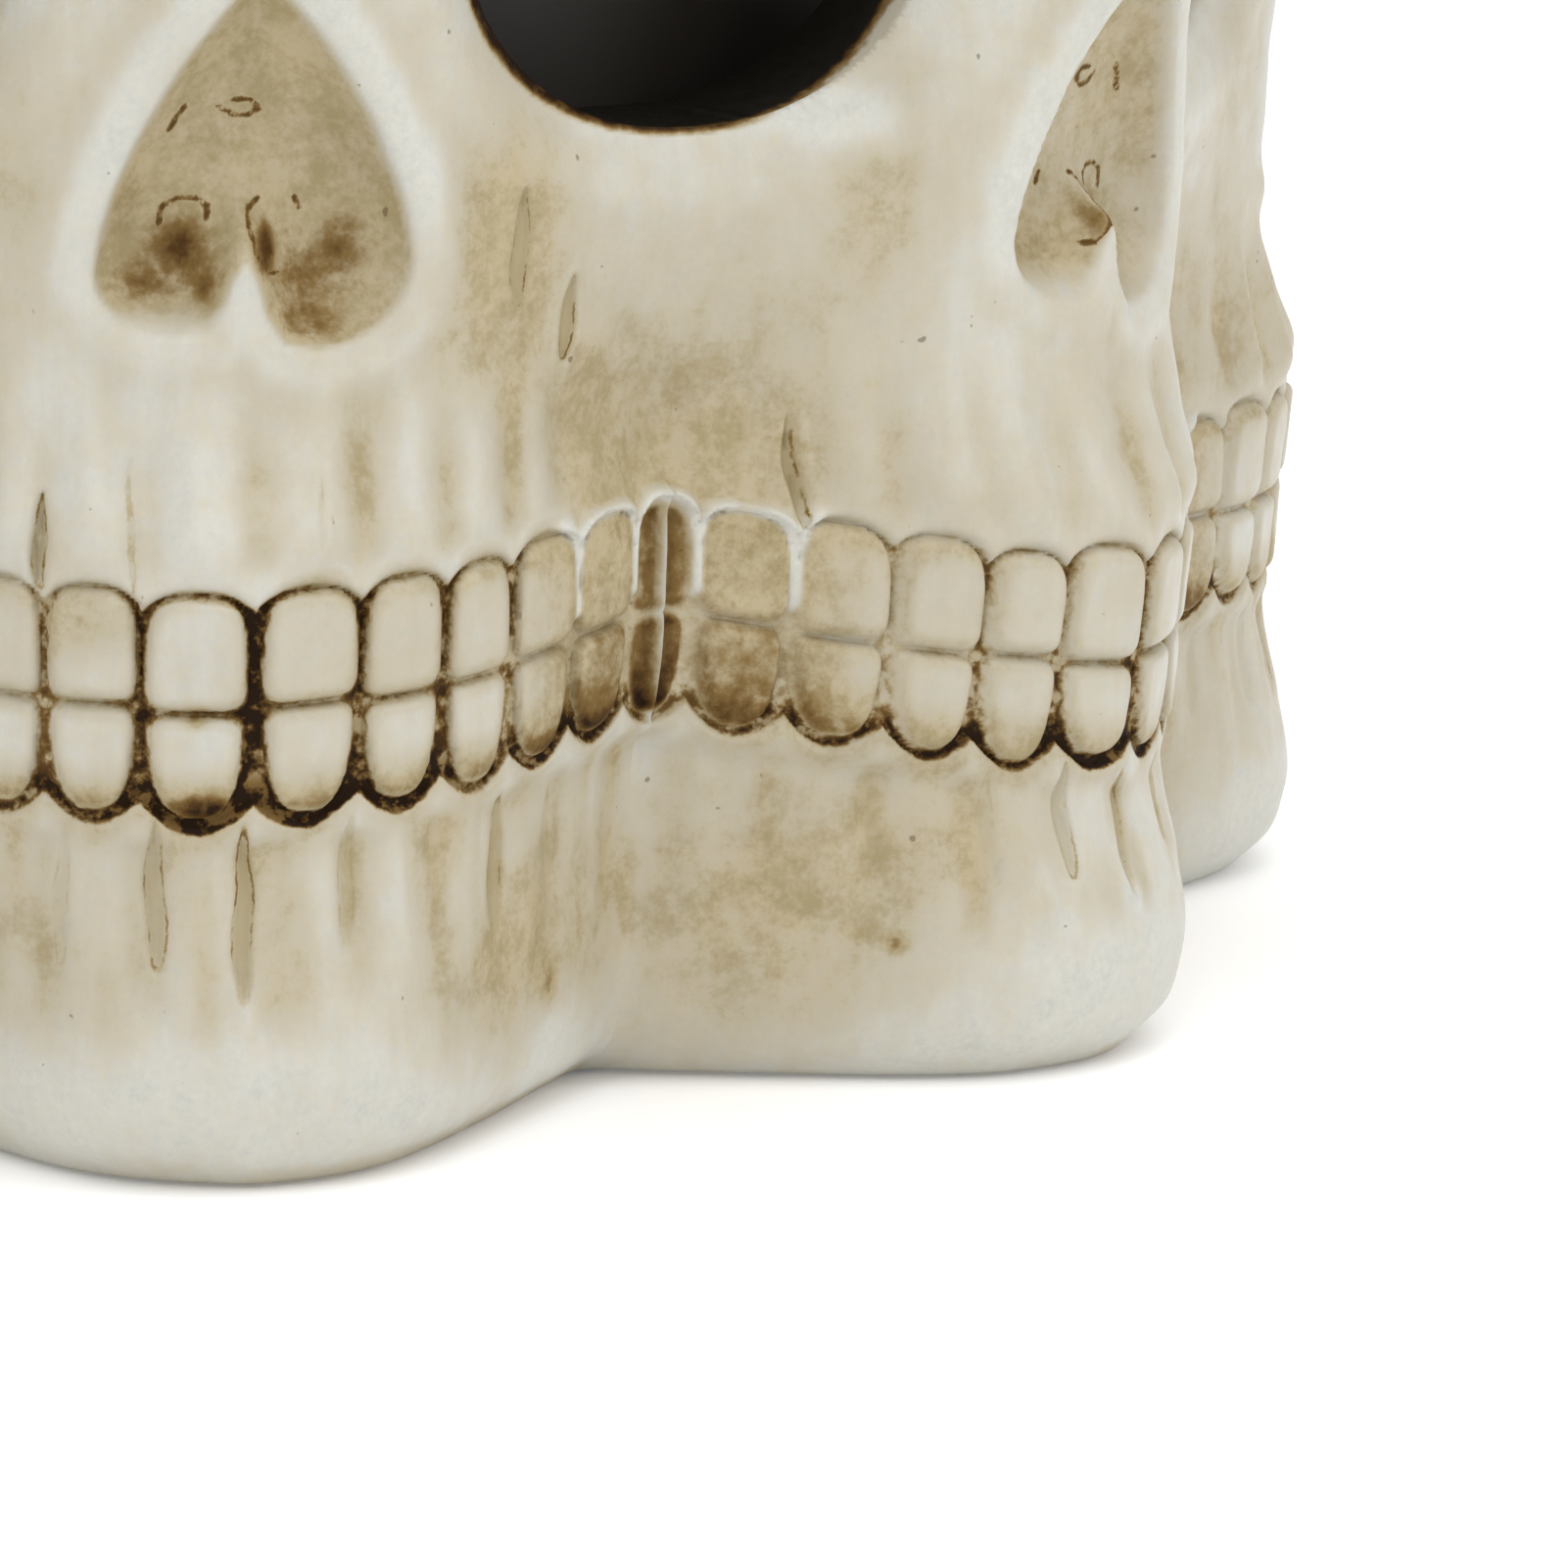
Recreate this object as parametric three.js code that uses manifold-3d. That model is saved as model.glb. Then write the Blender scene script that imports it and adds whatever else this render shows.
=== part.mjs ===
// A bowl whose wall is a ring of skull faces cast in resin, joined edge to edge. Neighbouring faces share
// an eye socket. A black liner hangs in the ring by its lip and lifts out, a round plate screwed up from
// below ties the faces together, and each chin stands on a felt foot.
// Millimetres, +Z up. The origin is on the table in the middle of the ring, and face 1 looks along -Y.

import * as THREE from 'three';
import { mergeVertices } from 'three/addons/utils/BufferGeometryUtils.js';
import Module from 'manifold-3d';

// Ring of faces
const faceCount = 8;
const biteRadius = 112;
const rimHeight = 152;
const seamGap = 0.3;
const clearance = 0.3;

// Heights up a face, each measured from the one before it
const chinLift = 0.5;
const chinRise = 11.5;
const jawHeight = 27.5;
const lowerCrown = 9.1;
const upperCrown = 9;
const lipHeight = 19.4;
const cheekHeight = 16;
const socketHeight = 40;
const browHeight = 4;

// Where a face swells or dips between those heights
const chinEdge = 4;
const gumFold = 3;
const lipSwell = 6;
const noseSill = 3;
const orbitSill = 4;
const bridgeRise = 2;
const templeDrop = 10;

// Widths and depths on a face
const chinWidth = 24;
const canineWidth = 32;
const cheekWidth = 28;
const bridgeWidth = 18;
const foreheadWidth = 36;
const teethPerFace = 11;
const crownBulge = 1.5;
const biteRise = 5;
const noseWidth = 27;
const noseHeight = 31;
const noseDepth = 9;
const spineHeight = 6;
const socketWidth = 45;

// Back of a face
const backWall = 17;
const seamWall = 5.5;
const backWidth = 16;
const ledgeWidth = 12;
const ledgeThickness = 10;

// Base plate, its screws and the felt feet
const plateThickness = 3;
const plateRimWall = 6;
const screwHeadDiameter = 7;
const screwHeadHeight = 2.2;
const screwDiameter = 3.4;
const screwGrip = 8;
const footDiameter = 16;
const footThickness = 1.6;
const footSetback = 17;

// Liner
const linerGap = 2;
const linerTaper = 6;
const linerWall = 2;
const linerLipWidth = 11;
const linerLipThickness = 3;
const linerFloorGap = 3;

// Heights from the table
const biteHeight = jawHeight + lowerCrown;
const gumHeight = biteHeight + upperCrown;
const noseBottom = gumHeight + lipHeight;
const noseTop = noseBottom + noseHeight;
const socketBottom = noseBottom + cheekHeight;
const socketTop = socketBottom + socketHeight;
const brow = socketTop + browHeight;
const foreheadHeight = rimHeight - brow;
const rimRound = foreheadHeight / 9;
const halfSector = Math.PI / faceCount;
const toothAngle = (2 * halfSector) / teethPerFace;

const wasm = await Module();
wasm.setup();

// The cross-section of a face at one height: how far its midline stands out past the bite line, how wide
// its flat front is, and how steeply the front and the sides fall back.
const levels = [
  { z: chinLift, out: -2.6, front: 0.1, width: chinWidth, side: 1.25 },
  { z: chinLift + chinEdge, out: 0.2, front: 0.1, width: chinWidth, side: 1.25 },
  { z: chinLift + chinRise, out: 0.5, front: 0.1, width: chinWidth, side: 1.2 },
  { z: jawHeight - gumFold, out: -2.2, front: 0.22, width: (chinWidth + canineWidth) / 2, side: 0.95 },
  { z: jawHeight, out: -1.2, front: 0.3, width: canineWidth, side: 0.8 },
  { z: biteHeight, out: -0.6, front: 0.33, width: canineWidth, side: 0.72 },
  { z: gumHeight, out: -0.3, front: 0.33, width: canineWidth, side: 0.78 },
  { z: gumHeight + lipSwell, out: 0, front: 0.28, width: canineWidth, side: 0.98 },
  { z: noseBottom - noseSill, out: -2, front: 0.2, width: (canineWidth + cheekWidth) / 2, side: 0.8 },
  { z: noseBottom + cheekHeight / 2, out: -3.2, front: 0.12, width: cheekWidth, side: 0.62 },
  { z: socketBottom + orbitSill, out: -2, front: 0.16, width: (cheekWidth + bridgeWidth) / 2, side: 0.6 },
  { z: noseTop + bridgeRise, out: 0.4, front: 0.3, width: bridgeWidth, side: 0.55 },
  { z: socketTop - templeDrop, out: -3, front: 0.2, width: cheekWidth, side: 0.5 },
  { z: brow, out: 0.4, front: 0.1, width: foreheadWidth, side: 0.45 },
  { z: brow + foreheadHeight / 2, out: -1.8, front: 0.12, width: foreheadWidth, side: 0.55 },
  { z: rimHeight - rimRound, out: -6, front: 0.14, width: foreheadWidth, side: 0.6 },
  { z: rimHeight, out: -9, front: 0.14, width: foreheadWidth, side: 0.6 },
];
const cornerSoftness = 3;

// How finely the round forms are divided
const crownStops = [0.2, 0.8];
const lipStops = [0.35, 0.7];
const plateSides = 64;
const linerSides = 40;
const footSides = 12;
const screwSides = 8;
const socketSides = 20;
const noseSides = 5;

// A smooth value through the levels, by a Catmull-Rom curve in height.
function levelValue(key, z) {
  const last = levels.length - 1;
  let i = 0;
  while (i < last - 1 && z > levels[i + 1].z) i += 1;
  const before = levels[Math.max(i - 1, 0)];
  const from = levels[i];
  const to = levels[i + 1];
  const after = levels[Math.min(i + 2, last)];
  const span = to.z - from.z;
  const t = Math.min(Math.max((z - from.z) / span, 0), 1);
  const slopeFrom = ((to[key] - before[key]) / (to.z - before.z)) * span;
  const slopeTo = ((after[key] - from[key]) / (after.z - from.z)) * span;
  const t2 = t * t;
  const t3 = t2 * t;
  return (2 * t3 - 3 * t2 + 1) * from[key] + (t3 - 2 * t2 + t) * slopeFrom
    + (3 * t2 - 2 * t3) * to[key] + (t3 - t2) * slopeTo;
}

// Distance from the axis to a section's outline at an angle from the face's midline.
function sectionRadius(angle, section) {
  const { middle, front, width, side } = section;
  let radius = middle;
  for (let step = 0; step < 24; step += 1) {
    const across = Math.abs(radius * Math.sin(angle));
    const past = cornerSoftness * Math.log(1 + Math.exp((across - width / 2) / cornerSoftness));
    const fall = front * across + side * past;
    radius += 0.6 * ((middle - fall) / Math.cos(angle) - radius);
  }
  return radius;
}

function faceRadius(angle, z) {
  return sectionRadius(angle, {
    middle: biteRadius + levelValue('out', z),
    front: levelValue('front', z),
    width: levelValue('width', z),
    side: levelValue('side', z),
  });
}

// The bite line and its neighbours climb towards the seam; the climb dies away at the chin and the nose.
function climb(angle, z) {
  const low = THREE.MathUtils.smoothstep(z, chinLift + chinRise, jawHeight);
  const high = 1 - THREE.MathUtils.smoothstep(z, gumHeight, noseBottom);
  return biteRise * low * high * Math.pow(Math.abs(angle) / halfSector, 1.5);
}

// How far a tooth crown stands out. Crowns meet in grooves at the gaps, the bite line and the gum lines.
function crownOut(angle, z) {
  if (z <= jawHeight || z >= gumHeight) return 0;
  const lower = z < biteHeight;
  const start = lower ? jawHeight : biteHeight;
  const crown = lower ? lowerCrown : upperCrown;
  const across = Math.abs(Math.sin((Math.PI * angle) / toothAngle));
  const along = Math.sin((Math.PI * (z - start)) / crown);
  return crownBulge * Math.sqrt(across * along);
}

// A closed mesh as a solid, and a solid as a geometry.
function toSolid(geometry) {
  const bare = geometry.clone();
  bare.deleteAttribute('normal');
  bare.deleteAttribute('uv');
  const merged = mergeVertices(bare);
  const triangles = [];
  const corners = merged.index.array;
  for (let i = 0; i < corners.length; i += 3) {
    const [a, b, c] = corners.slice(i, i + 3);
    if (a !== b && b !== c && c !== a) triangles.push(a, b, c);
  }
  return new wasm.Manifold(new wasm.Mesh({
    numProp: 3,
    vertProperties: new Float32Array(merged.attributes.position.array),
    triVerts: new Uint32Array(triangles),
  }));
}

function toGeometry(solid) {
  const mesh = solid.getMesh();
  const geometry = new THREE.BufferGeometry();
  geometry.setAttribute('position', new THREE.BufferAttribute(mesh.vertProperties, 3));
  geometry.setIndex(new THREE.BufferAttribute(mesh.triVerts, 1));
  geometry.computeVertexNormals();
  return geometry;
}

// An upright disc or cylinder between two heights.
function upright(diameter, bottom, top, sides) {
  const geometry = new THREE.CylinderGeometry(diameter / 2, diameter / 2, top - bottom, sides);
  return geometry.rotateX(Math.PI / 2).translate(0, 0, (bottom + top) / 2);
}

// An outline drawn across and up, pushed out of a face from one distance off the axis to another.
function outwardPrism(shape, from, to) {
  const settings = { depth: to - from, bevelEnabled: false, curveSegments: noseSides };
  return new THREE.ExtrudeGeometry(shape, settings).translate(0, 0, from).rotateX(Math.PI / 2);
}

// Seats shared by the faces, the plate, the screws and the liner
const baseSeamRadius = faceRadius(halfSector, chinLift + chinEdge);
const plateSeatRadius = baseSeamRadius - plateRimWall;
const plateRadius = plateSeatRadius - clearance;
const plateBottom = chinLift + screwHeadHeight + 2 * clearance;
const plateTop = plateBottom + plateThickness;
const ledgeBottom = plateTop + clearance;
const ledgeTop = ledgeBottom + ledgeThickness;
const ledgeRadius = plateSeatRadius - ledgeWidth;
const screwRadius = plateSeatRadius - ledgeWidth / 2;
const screwHoleDiameter = screwDiameter + 2 * clearance;
const screwTip = ledgeBottom + screwGrip;
const cavitySeamRadius = baseSeamRadius - seamWall;
const footRadius = biteRadius - footSetback;
const footSeatTop = footThickness + clearance;

// The block that a face is cut from: its modelled front, closed to an inner arc near the axis.
function faceBlock() {
  const angles = [];
  const edge = halfSector - seamGap / 2 / cavitySeamRadius;
  for (let half = -teethPerFace + 1; half < teethPerFace; half += 1) angles.push((half * toothAngle) / 2);
  angles.unshift(-edge);
  angles.push(edge);
  const heights = [
    chinLift, chinLift + 0.4 * chinEdge, chinLift + 1.25 * chinEdge, chinLift + chinRise, jawHeight - gumFold,
    jawHeight, ...crownStops.map((share) => jawHeight + share * lowerCrown),
    biteHeight, ...crownStops.map((share) => biteHeight + share * upperCrown),
    gumHeight, ...lipStops.map((share) => gumHeight + share * lipHeight), noseBottom,
    noseBottom + cheekHeight / 2, socketBottom, (socketBottom + socketTop) / 2, socketTop,
    brow, brow + foreheadHeight / 2, rimHeight - rimRound, rimHeight,
  ];
  const points = [];
  for (const z of heights) {
    for (const angle of angles) {
      const radius = faceRadius(angle, z) + crownOut(angle, z);
      points.push(radius * Math.sin(angle), -radius * Math.cos(angle), z + climb(angle, z));
    }
  }
  const innerStart = points.length / 3;
  const coreRadius = ledgeRadius / 2;
  for (const z of heights) {
    for (const angle of angles) {
      points.push(coreRadius * Math.sin(angle), -coreRadius * Math.cos(angle), z + climb(angle, z));
    }
  }
  const columns = angles.length;
  const rows = heights.length;
  const triangles = [];
  const quad = (a, b, c, d) => triangles.push(a, b, c, a, c, d);
  for (let row = 0; row < rows - 1; row += 1) {
    for (let column = 0; column < columns - 1; column += 1) {
      const at = row * columns + column;
      quad(at, at + 1, at + columns + 1, at + columns);
      const inner = innerStart + at;
      quad(inner, inner + columns, inner + columns + 1, inner + 1);
    }
    const left = row * columns;
    const right = left + columns - 1;
    quad(left, left + columns, innerStart + left + columns, innerStart + left);
    quad(right, innerStart + right, innerStart + right + columns, right + columns);
  }
  const lastRow = (rows - 1) * columns;
  for (let column = 0; column < columns - 1; column += 1) {
    quad(column, innerStart + column, innerStart + column + 1, column + 1);
    const top = lastRow + column;
    quad(top, top + 1, innerStart + top + 1, innerStart + top);
  }
  const geometry = new THREE.BufferGeometry();
  geometry.setAttribute('position', new THREE.Float32BufferAttribute(points, 3));
  geometry.setIndex(triangles);
  return toSolid(geometry);
}

// The nose opening: pointed above, two lobes below, parted by the nasal spine.
function noseOutline() {
  const half = noseWidth / 2;
  const lobe = half * 0.45;
  const spine = half * 0.12;
  const widest = noseBottom + noseHeight * 0.22;
  const flank = widest + noseHeight * 0.3;
  const shoulder = noseTop - noseHeight * 0.1;
  const spineFoot = noseBottom + spineHeight / 6;
  const sag = noseBottom - spineHeight / 3;
  const shape = new THREE.Shape();
  shape.moveTo(0, noseTop);
  shape.bezierCurveTo(-lobe, shoulder, -half, flank, -half, widest);
  shape.bezierCurveTo(-half, spineFoot, -lobe, sag, -spine, spineFoot);
  shape.lineTo(0, noseBottom + spineHeight);
  shape.lineTo(spine, spineFoot);
  shape.bezierCurveTo(lobe, sag, half, spineFoot, half, widest);
  shape.bezierCurveTo(half, flank, lobe, shoulder, 0, noseTop);
  return shape;
}

// The eye socket that two faces share, a soft-cornered oval.
function socketOutline() {
  const squareness = 2.2;
  const points = [];
  for (let i = 0; i < socketSides; i += 1) {
    const turn = (2 * Math.PI * i) / socketSides;
    const across = Math.sign(Math.cos(turn)) * Math.pow(Math.abs(Math.cos(turn)), 2 / squareness);
    const up = Math.sign(Math.sin(turn)) * Math.pow(Math.abs(Math.sin(turn)), 2 / squareness);
    points.push(new THREE.Vector2((across * socketWidth) / 2, socketBottom + ((1 + up) * socketHeight) / 2));
  }
  return new THREE.Shape(points);
}

// The hollow at the back of a face, from the ledge up: it follows the face's own swell.
function backHollow() {
  const middle = biteRadius - backWall;
  const front = 0.1;
  const seamDepth = cavitySeamRadius * Math.cos(halfSector);
  const seamAcross = cavitySeamRadius * Math.sin(halfSector);
  const side = (middle - front * seamAcross - seamDepth) / (seamAcross - backWidth / 2);
  const steps = 8;
  const reach = halfSector * 1.2;
  const points = [new THREE.Vector2(0, ledgeRadius / 4)];
  for (let i = 0; i <= steps; i += 1) {
    const angle = -reach + (2 * reach * i) / steps;
    const radius = sectionRadius(angle, { middle, front, width: backWidth, side });
    points.push(new THREE.Vector2(radius * Math.sin(angle), -radius * Math.cos(angle)));
  }
  const depth = rimHeight + biteRise - ledgeTop;
  const geometry = new THREE.ExtrudeGeometry(new THREE.Shape(points), { depth, bevelEnabled: false });
  return toSolid(geometry.translate(0, 0, ledgeTop));
}

function faceGeometry() {
  const outside = biteRadius + noseDepth + biteRise;
  const under = -chinRise;
  const noseFloor = biteRadius + levelValue('out', noseBottom + cheekHeight / 2) - noseDepth;
  const socketPrism = outwardPrism(socketOutline(), ledgeRadius, outside);
  const screwHole = upright(screwHoleDiameter, under, screwTip + clearance, screwSides);
  const footSeat = upright(footDiameter + 2 * clearance, under, footSeatTop, footSides);
  const cuts = [
    backHollow(),
    toSolid(upright(2 * ledgeRadius, under, rimHeight, plateSides)),
    toSolid(upright(2 * plateSeatRadius, under, ledgeBottom, plateSides)),
    toSolid(screwHole.translate(0, -screwRadius, 0)),
    toSolid(footSeat.translate(0, -footRadius, 0)),
    toSolid(outwardPrism(noseOutline(), noseFloor, outside)),
    toSolid(socketPrism.clone().rotateZ(halfSector)),
    toSolid(socketPrism.clone().rotateZ(-halfSector)),
  ];
  let face = faceBlock();
  for (const cut of cuts) face = face.subtract(cut);
  return toGeometry(face);
}

function circlePoints(x, y, radius, sides) {
  const points = [];
  for (let i = 0; i < sides; i += 1) {
    const turn = (2 * Math.PI * i) / sides;
    points.push(new THREE.Vector2(x + radius * Math.cos(turn), y + radius * Math.sin(turn)));
  }
  return points;
}

// A round plate with one screw hole for each face.
function plateGeometry() {
  const shape = new THREE.Shape(circlePoints(0, 0, plateRadius, plateSides));
  for (let i = 0; i < faceCount; i += 1) {
    const turn = (2 * Math.PI * i) / faceCount - Math.PI / 2;
    const centre = [screwRadius * Math.cos(turn), screwRadius * Math.sin(turn)];
    shape.holes.push(new THREE.Path(circlePoints(...centre, screwHoleDiameter / 2, screwSides)));
  }
  const settings = { depth: plateThickness, bevelEnabled: false };
  return new THREE.ExtrudeGeometry(shape, settings).translate(0, 0, plateBottom);
}

// A pan-head screw, head down, turned about its own axis.
function screwGeometry() {
  const headTop = plateBottom - clearance;
  const headBottom = headTop - screwHeadHeight;
  const profile = [
    [0, headBottom],
    [screwHeadDiameter * 0.36, headBottom],
    [screwHeadDiameter / 2, headBottom + screwHeadHeight * 0.4],
    [screwHeadDiameter / 2, headTop],
    [screwDiameter / 2, headTop],
    [screwDiameter / 2, screwTip - screwDiameter / 2],
    [0, screwTip],
  ];
  return turned(profile, screwSides);
}

// A profile of distances from the axis and heights, turned about Z.
function turned(profile, sides) {
  const points = profile.map(([radius, z]) => new THREE.Vector2(radius, z));
  return new THREE.LatheGeometry(points, sides).rotateX(Math.PI / 2);
}

// The liner: a tapered tub hung by a flat lip on the rim of the faces.
function linerGeometry() {
  const floor = ledgeTop + linerFloorGap;
  const lipBottom = rimHeight + clearance;
  const lipTop = lipBottom + linerLipThickness;
  const topRadius = cavitySeamRadius - linerGap;
  const floorRadius = topRadius - linerTaper;
  const lipRadius = cavitySeamRadius + linerLipWidth;
  const lipEdge = linerLipThickness * 0.3;
  const corner = linerWall * 2;
  return turned([
    [0, floor],
    [floorRadius - corner, floor],
    [floorRadius, floor + corner],
    [topRadius, lipBottom],
    [lipRadius, lipBottom],
    [lipRadius, lipTop - lipEdge],
    [lipRadius - lipEdge, lipTop],
    [topRadius - linerWall + lipEdge, lipTop],
    [topRadius - linerWall, lipTop - lipEdge],
    [floorRadius - linerWall, floor + corner],
    [floorRadius - linerWall - corner / 2, floor + linerWall],
    [0, floor + linerWall],
  ], linerSides);
}

const boneResin = new THREE.MeshStandardMaterial({ color: 0xd2c9b2, roughness: 0.45, metalness: 0 });
const blackPlastic = new THREE.MeshStandardMaterial({ color: 0x17161a, roughness: 0.35, metalness: 0 });
const greyPlastic = new THREE.MeshStandardMaterial({ color: 0x3a3836, roughness: 0.6, metalness: 0 });
const zincSteel = new THREE.MeshStandardMaterial({ color: 0xb6b3aa, roughness: 0.35, metalness: 1 });
const brownFelt = new THREE.MeshStandardMaterial({ color: 0x3b2c20, roughness: 0.95, metalness: 0 });

const bowl = new THREE.Group();

function addMesh(parent, name, geometry, material) {
  const mesh = new THREE.Mesh(geometry, material);
  mesh.name = name;
  parent.add(mesh);
  return mesh;
}

const face = faceGeometry();
const screw = screwGeometry();
const foot = upright(footDiameter, 0, footThickness, footSides);
for (let i = 0; i < faceCount; i += 1) {
  const station = new THREE.Group();
  station.rotation.z = (2 * Math.PI * i) / faceCount;
  addMesh(station, `skull_face_${i + 1}`, face, boneResin);
  addMesh(station, `base_screw_${i + 1}`, screw, zincSteel).position.y = -screwRadius;
  addMesh(station, `felt_foot_${i + 1}`, foot, brownFelt).position.y = -footRadius;
  bowl.add(station);
}
addMesh(bowl, 'base_plate', plateGeometry(), greyPlastic);
addMesh(bowl, 'black_liner', linerGeometry(), blackPlastic);

export default bowl;
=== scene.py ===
import math
from types import SimpleNamespace

import bmesh
import bpy
import numpy as np
from mathutils import Matrix, Vector


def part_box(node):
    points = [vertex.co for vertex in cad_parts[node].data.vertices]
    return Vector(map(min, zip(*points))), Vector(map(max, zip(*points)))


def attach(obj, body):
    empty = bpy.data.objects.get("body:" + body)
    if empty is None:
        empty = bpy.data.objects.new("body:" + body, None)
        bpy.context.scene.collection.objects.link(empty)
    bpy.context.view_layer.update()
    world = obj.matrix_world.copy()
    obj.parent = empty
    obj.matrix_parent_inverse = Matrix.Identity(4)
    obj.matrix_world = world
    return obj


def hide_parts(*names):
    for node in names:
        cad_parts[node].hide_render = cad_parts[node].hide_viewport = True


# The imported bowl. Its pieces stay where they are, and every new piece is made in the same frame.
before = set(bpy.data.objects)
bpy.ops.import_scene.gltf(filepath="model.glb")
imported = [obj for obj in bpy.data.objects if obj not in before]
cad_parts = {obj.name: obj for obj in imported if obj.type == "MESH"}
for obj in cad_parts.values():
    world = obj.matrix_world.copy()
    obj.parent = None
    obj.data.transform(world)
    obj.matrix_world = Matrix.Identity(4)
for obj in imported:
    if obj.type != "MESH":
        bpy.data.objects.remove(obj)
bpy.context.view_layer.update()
scene = bpy.context.scene

# Skull faces. Eight castings in bone-coloured resin, joined edge to edge in a ring. A mould gives each one
# its teeth, root lines and nose, and the sockets are cut where two faces meet. A brown wash is brushed on
# and wiped off again, so that it stays in the grooves and hollows.
mm = 0.001
face_count = 8
half_sector = math.pi / face_count
bite_radius = 112.0

chin_bottom = 0.5
chin_top = 12.0
jaw_height = 27.5
bite_height = 36.6
gum_height = 45.6
nose_bottom = 65.0
nose_top = 96.0
socket_bottom = 81.0
socket_top = 121.0
brow_height = 125.0
rim_height = 152.0

# Height, how far the midline stands out past the bite line, slope of the front, width of the front, and
# slope of the sides.
face_levels = np.array([
    (chin_bottom, -3.0, 0.24, 24, 1.30),
    (chin_bottom + 3, -0.5, 0.14, 24, 1.27),
    (chin_bottom + 6, 0.3, 0.10, 24, 1.25),
    (chin_top, 0.5, 0.10, 24, 1.20),
    (jaw_height - 3, -2.2, 0.22, 28, 0.95),
    (jaw_height, -1.2, 0.30, 32, 0.80),
    (bite_height, -0.3, 0.33, 32, 0.72),
    (gum_height, 0.5, 0.33, 32, 0.78),
    (gum_height + 4, 0.2, 0.30, 32, 0.90),
    (gum_height + 9, -2.1, 0.26, 32, 0.94),
    (nose_bottom - 3, -4.3, 0.20, 30, 0.80),
    (nose_bottom + 8, -5.2, 0.12, 28, 0.62),
    (socket_bottom + 4, -3.4, 0.16, 23, 0.60),
    (nose_top + 2, 0.4, 0.30, 18, 0.55),
    (socket_top - 10, -3.0, 0.20, 28, 0.50),
    (brow_height, 0.4, 0.10, 36, 0.45),
    (brow_height + 13.5, -1.8, 0.12, 36, 0.55),
    (rim_height - 3, -6.0, 0.14, 36, 0.60),
    (rim_height, -9.0, 0.14, 36, 0.60),
])
corner_softness = 3.0
midline_softness = 2.5
# How many degrees of the valley at a joint line are rounded at the chin, and how many more at the teeth and
# on the cheek.
chin_fillet = 0.7
teeth_fillet = 1.0
cheek_fillet = 2.6


def ease(value, start, end):
    """A smooth step from 0 at the start to 1 at the end."""
    t = np.clip((value - start) / (end - start), 0, 1)
    return t * t * (3 - 2 * t)


def hump(value, centre, spread):
    """A soft bump of height 1."""
    return np.exp(-(((value - centre) / spread) ** 2))


def dome(share):
    """A quarter circle from 0 to 1."""
    return np.sqrt(1 - (1 - np.clip(share, 0, 1)) ** 2)


def band(value, start, full, fade, end):
    """Rises to 1 between the first two values and falls to 0 between the last two."""
    return ease(value, start, full) * (1 - ease(value, fade, end))


def level_curve(column, z):
    """A smooth value through the face's levels at height z."""
    heights, values = face_levels[:, 0], face_levels[:, column]
    last = len(heights) - 1
    here = np.clip(np.searchsorted(heights, z) - 1, 0, last - 1)
    before, after = np.maximum(here - 1, 0), np.minimum(here + 2, last)
    span = heights[here + 1] - heights[here]
    t = np.clip((z - heights[here]) / span, 0, 1)
    slope_in = (values[here + 1] - values[before]) / (heights[here + 1] - heights[before]) * span
    slope_out = (values[after] - values[here]) / (heights[after] - heights[here]) * span
    low = (2 * t**3 - 3 * t**2 + 1) * values[here] + (t**3 - 2 * t**2 + t) * slope_in
    return low + (3 * t**2 - 2 * t**3) * values[here + 1] + (t**3 - t**2) * slope_out


def lobe_radius(angle, middle, front, width, side):
    """Distance from the axis to a lobe-shaped outline at an angle from its middle, found step by step."""
    radius = middle * np.ones_like(angle)
    for _ in range(24):
        across = np.abs(radius * np.sin(angle))
        past = corner_softness * np.log1p(np.exp((across - width / 2) / corner_softness))
        sloped = np.hypot(across, midline_softness)
        radius += 0.6 * ((middle - front * sloped - side * past) / np.cos(angle) - radius)
    return radius


def skin_radius(angle, z):
    """The plain swell of a face. The valley at the joint line is rounded, most of all on the cheek."""
    fillet = np.radians(chin_fillet + teeth_fillet * ease(z, 20, 40) + cheek_fillet * ease(z, 48, 64))
    to_joint = np.sqrt((half_sector - np.abs(angle)) ** 2 + fillet**2)
    middle = bite_radius + level_curve(1, z)
    front, width, side = (level_curve(column, z) for column in (2, 3, 4))
    return lobe_radius(half_sector - to_joint, middle, front, width, side)


# The tooth rows rise towards the joint lines. They were modelled by hand and don't run level, so these are
# their heights above the usual ones at the joint lines, from the one before face 1, and mid-face.
row_rise = 2.0
rows_at_joints = [0.6, 2.9, -1.0, 0.8, 0.5, -0.4, 1.0, 0.2, 0.6]
rows_at_middles = [2.3, -1.6, 0.4, -0.6, 1.2, 0.6, -0.8, -0.2]


def climb(angle, z, number):
    """How far a point moves up with the tooth rows. The chin and brow stay where they are."""
    part = np.abs(angle) / half_sector
    middle = rows_at_middles[number - 1]
    end = np.where(angle < 0, rows_at_joints[number - 1], rows_at_joints[number])
    above = ease(z, gum_height, nose_bottom)
    rise = row_rise * part**1.7 * (1 - above)
    high = ease(z, nose_bottom + 9, nose_top + 1)
    shift = (middle + (end - middle) * part) * (1 - 0.4 * above - 0.6 * high)
    return ease(z, chin_top, jaw_height) * (rise + shift)


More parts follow.
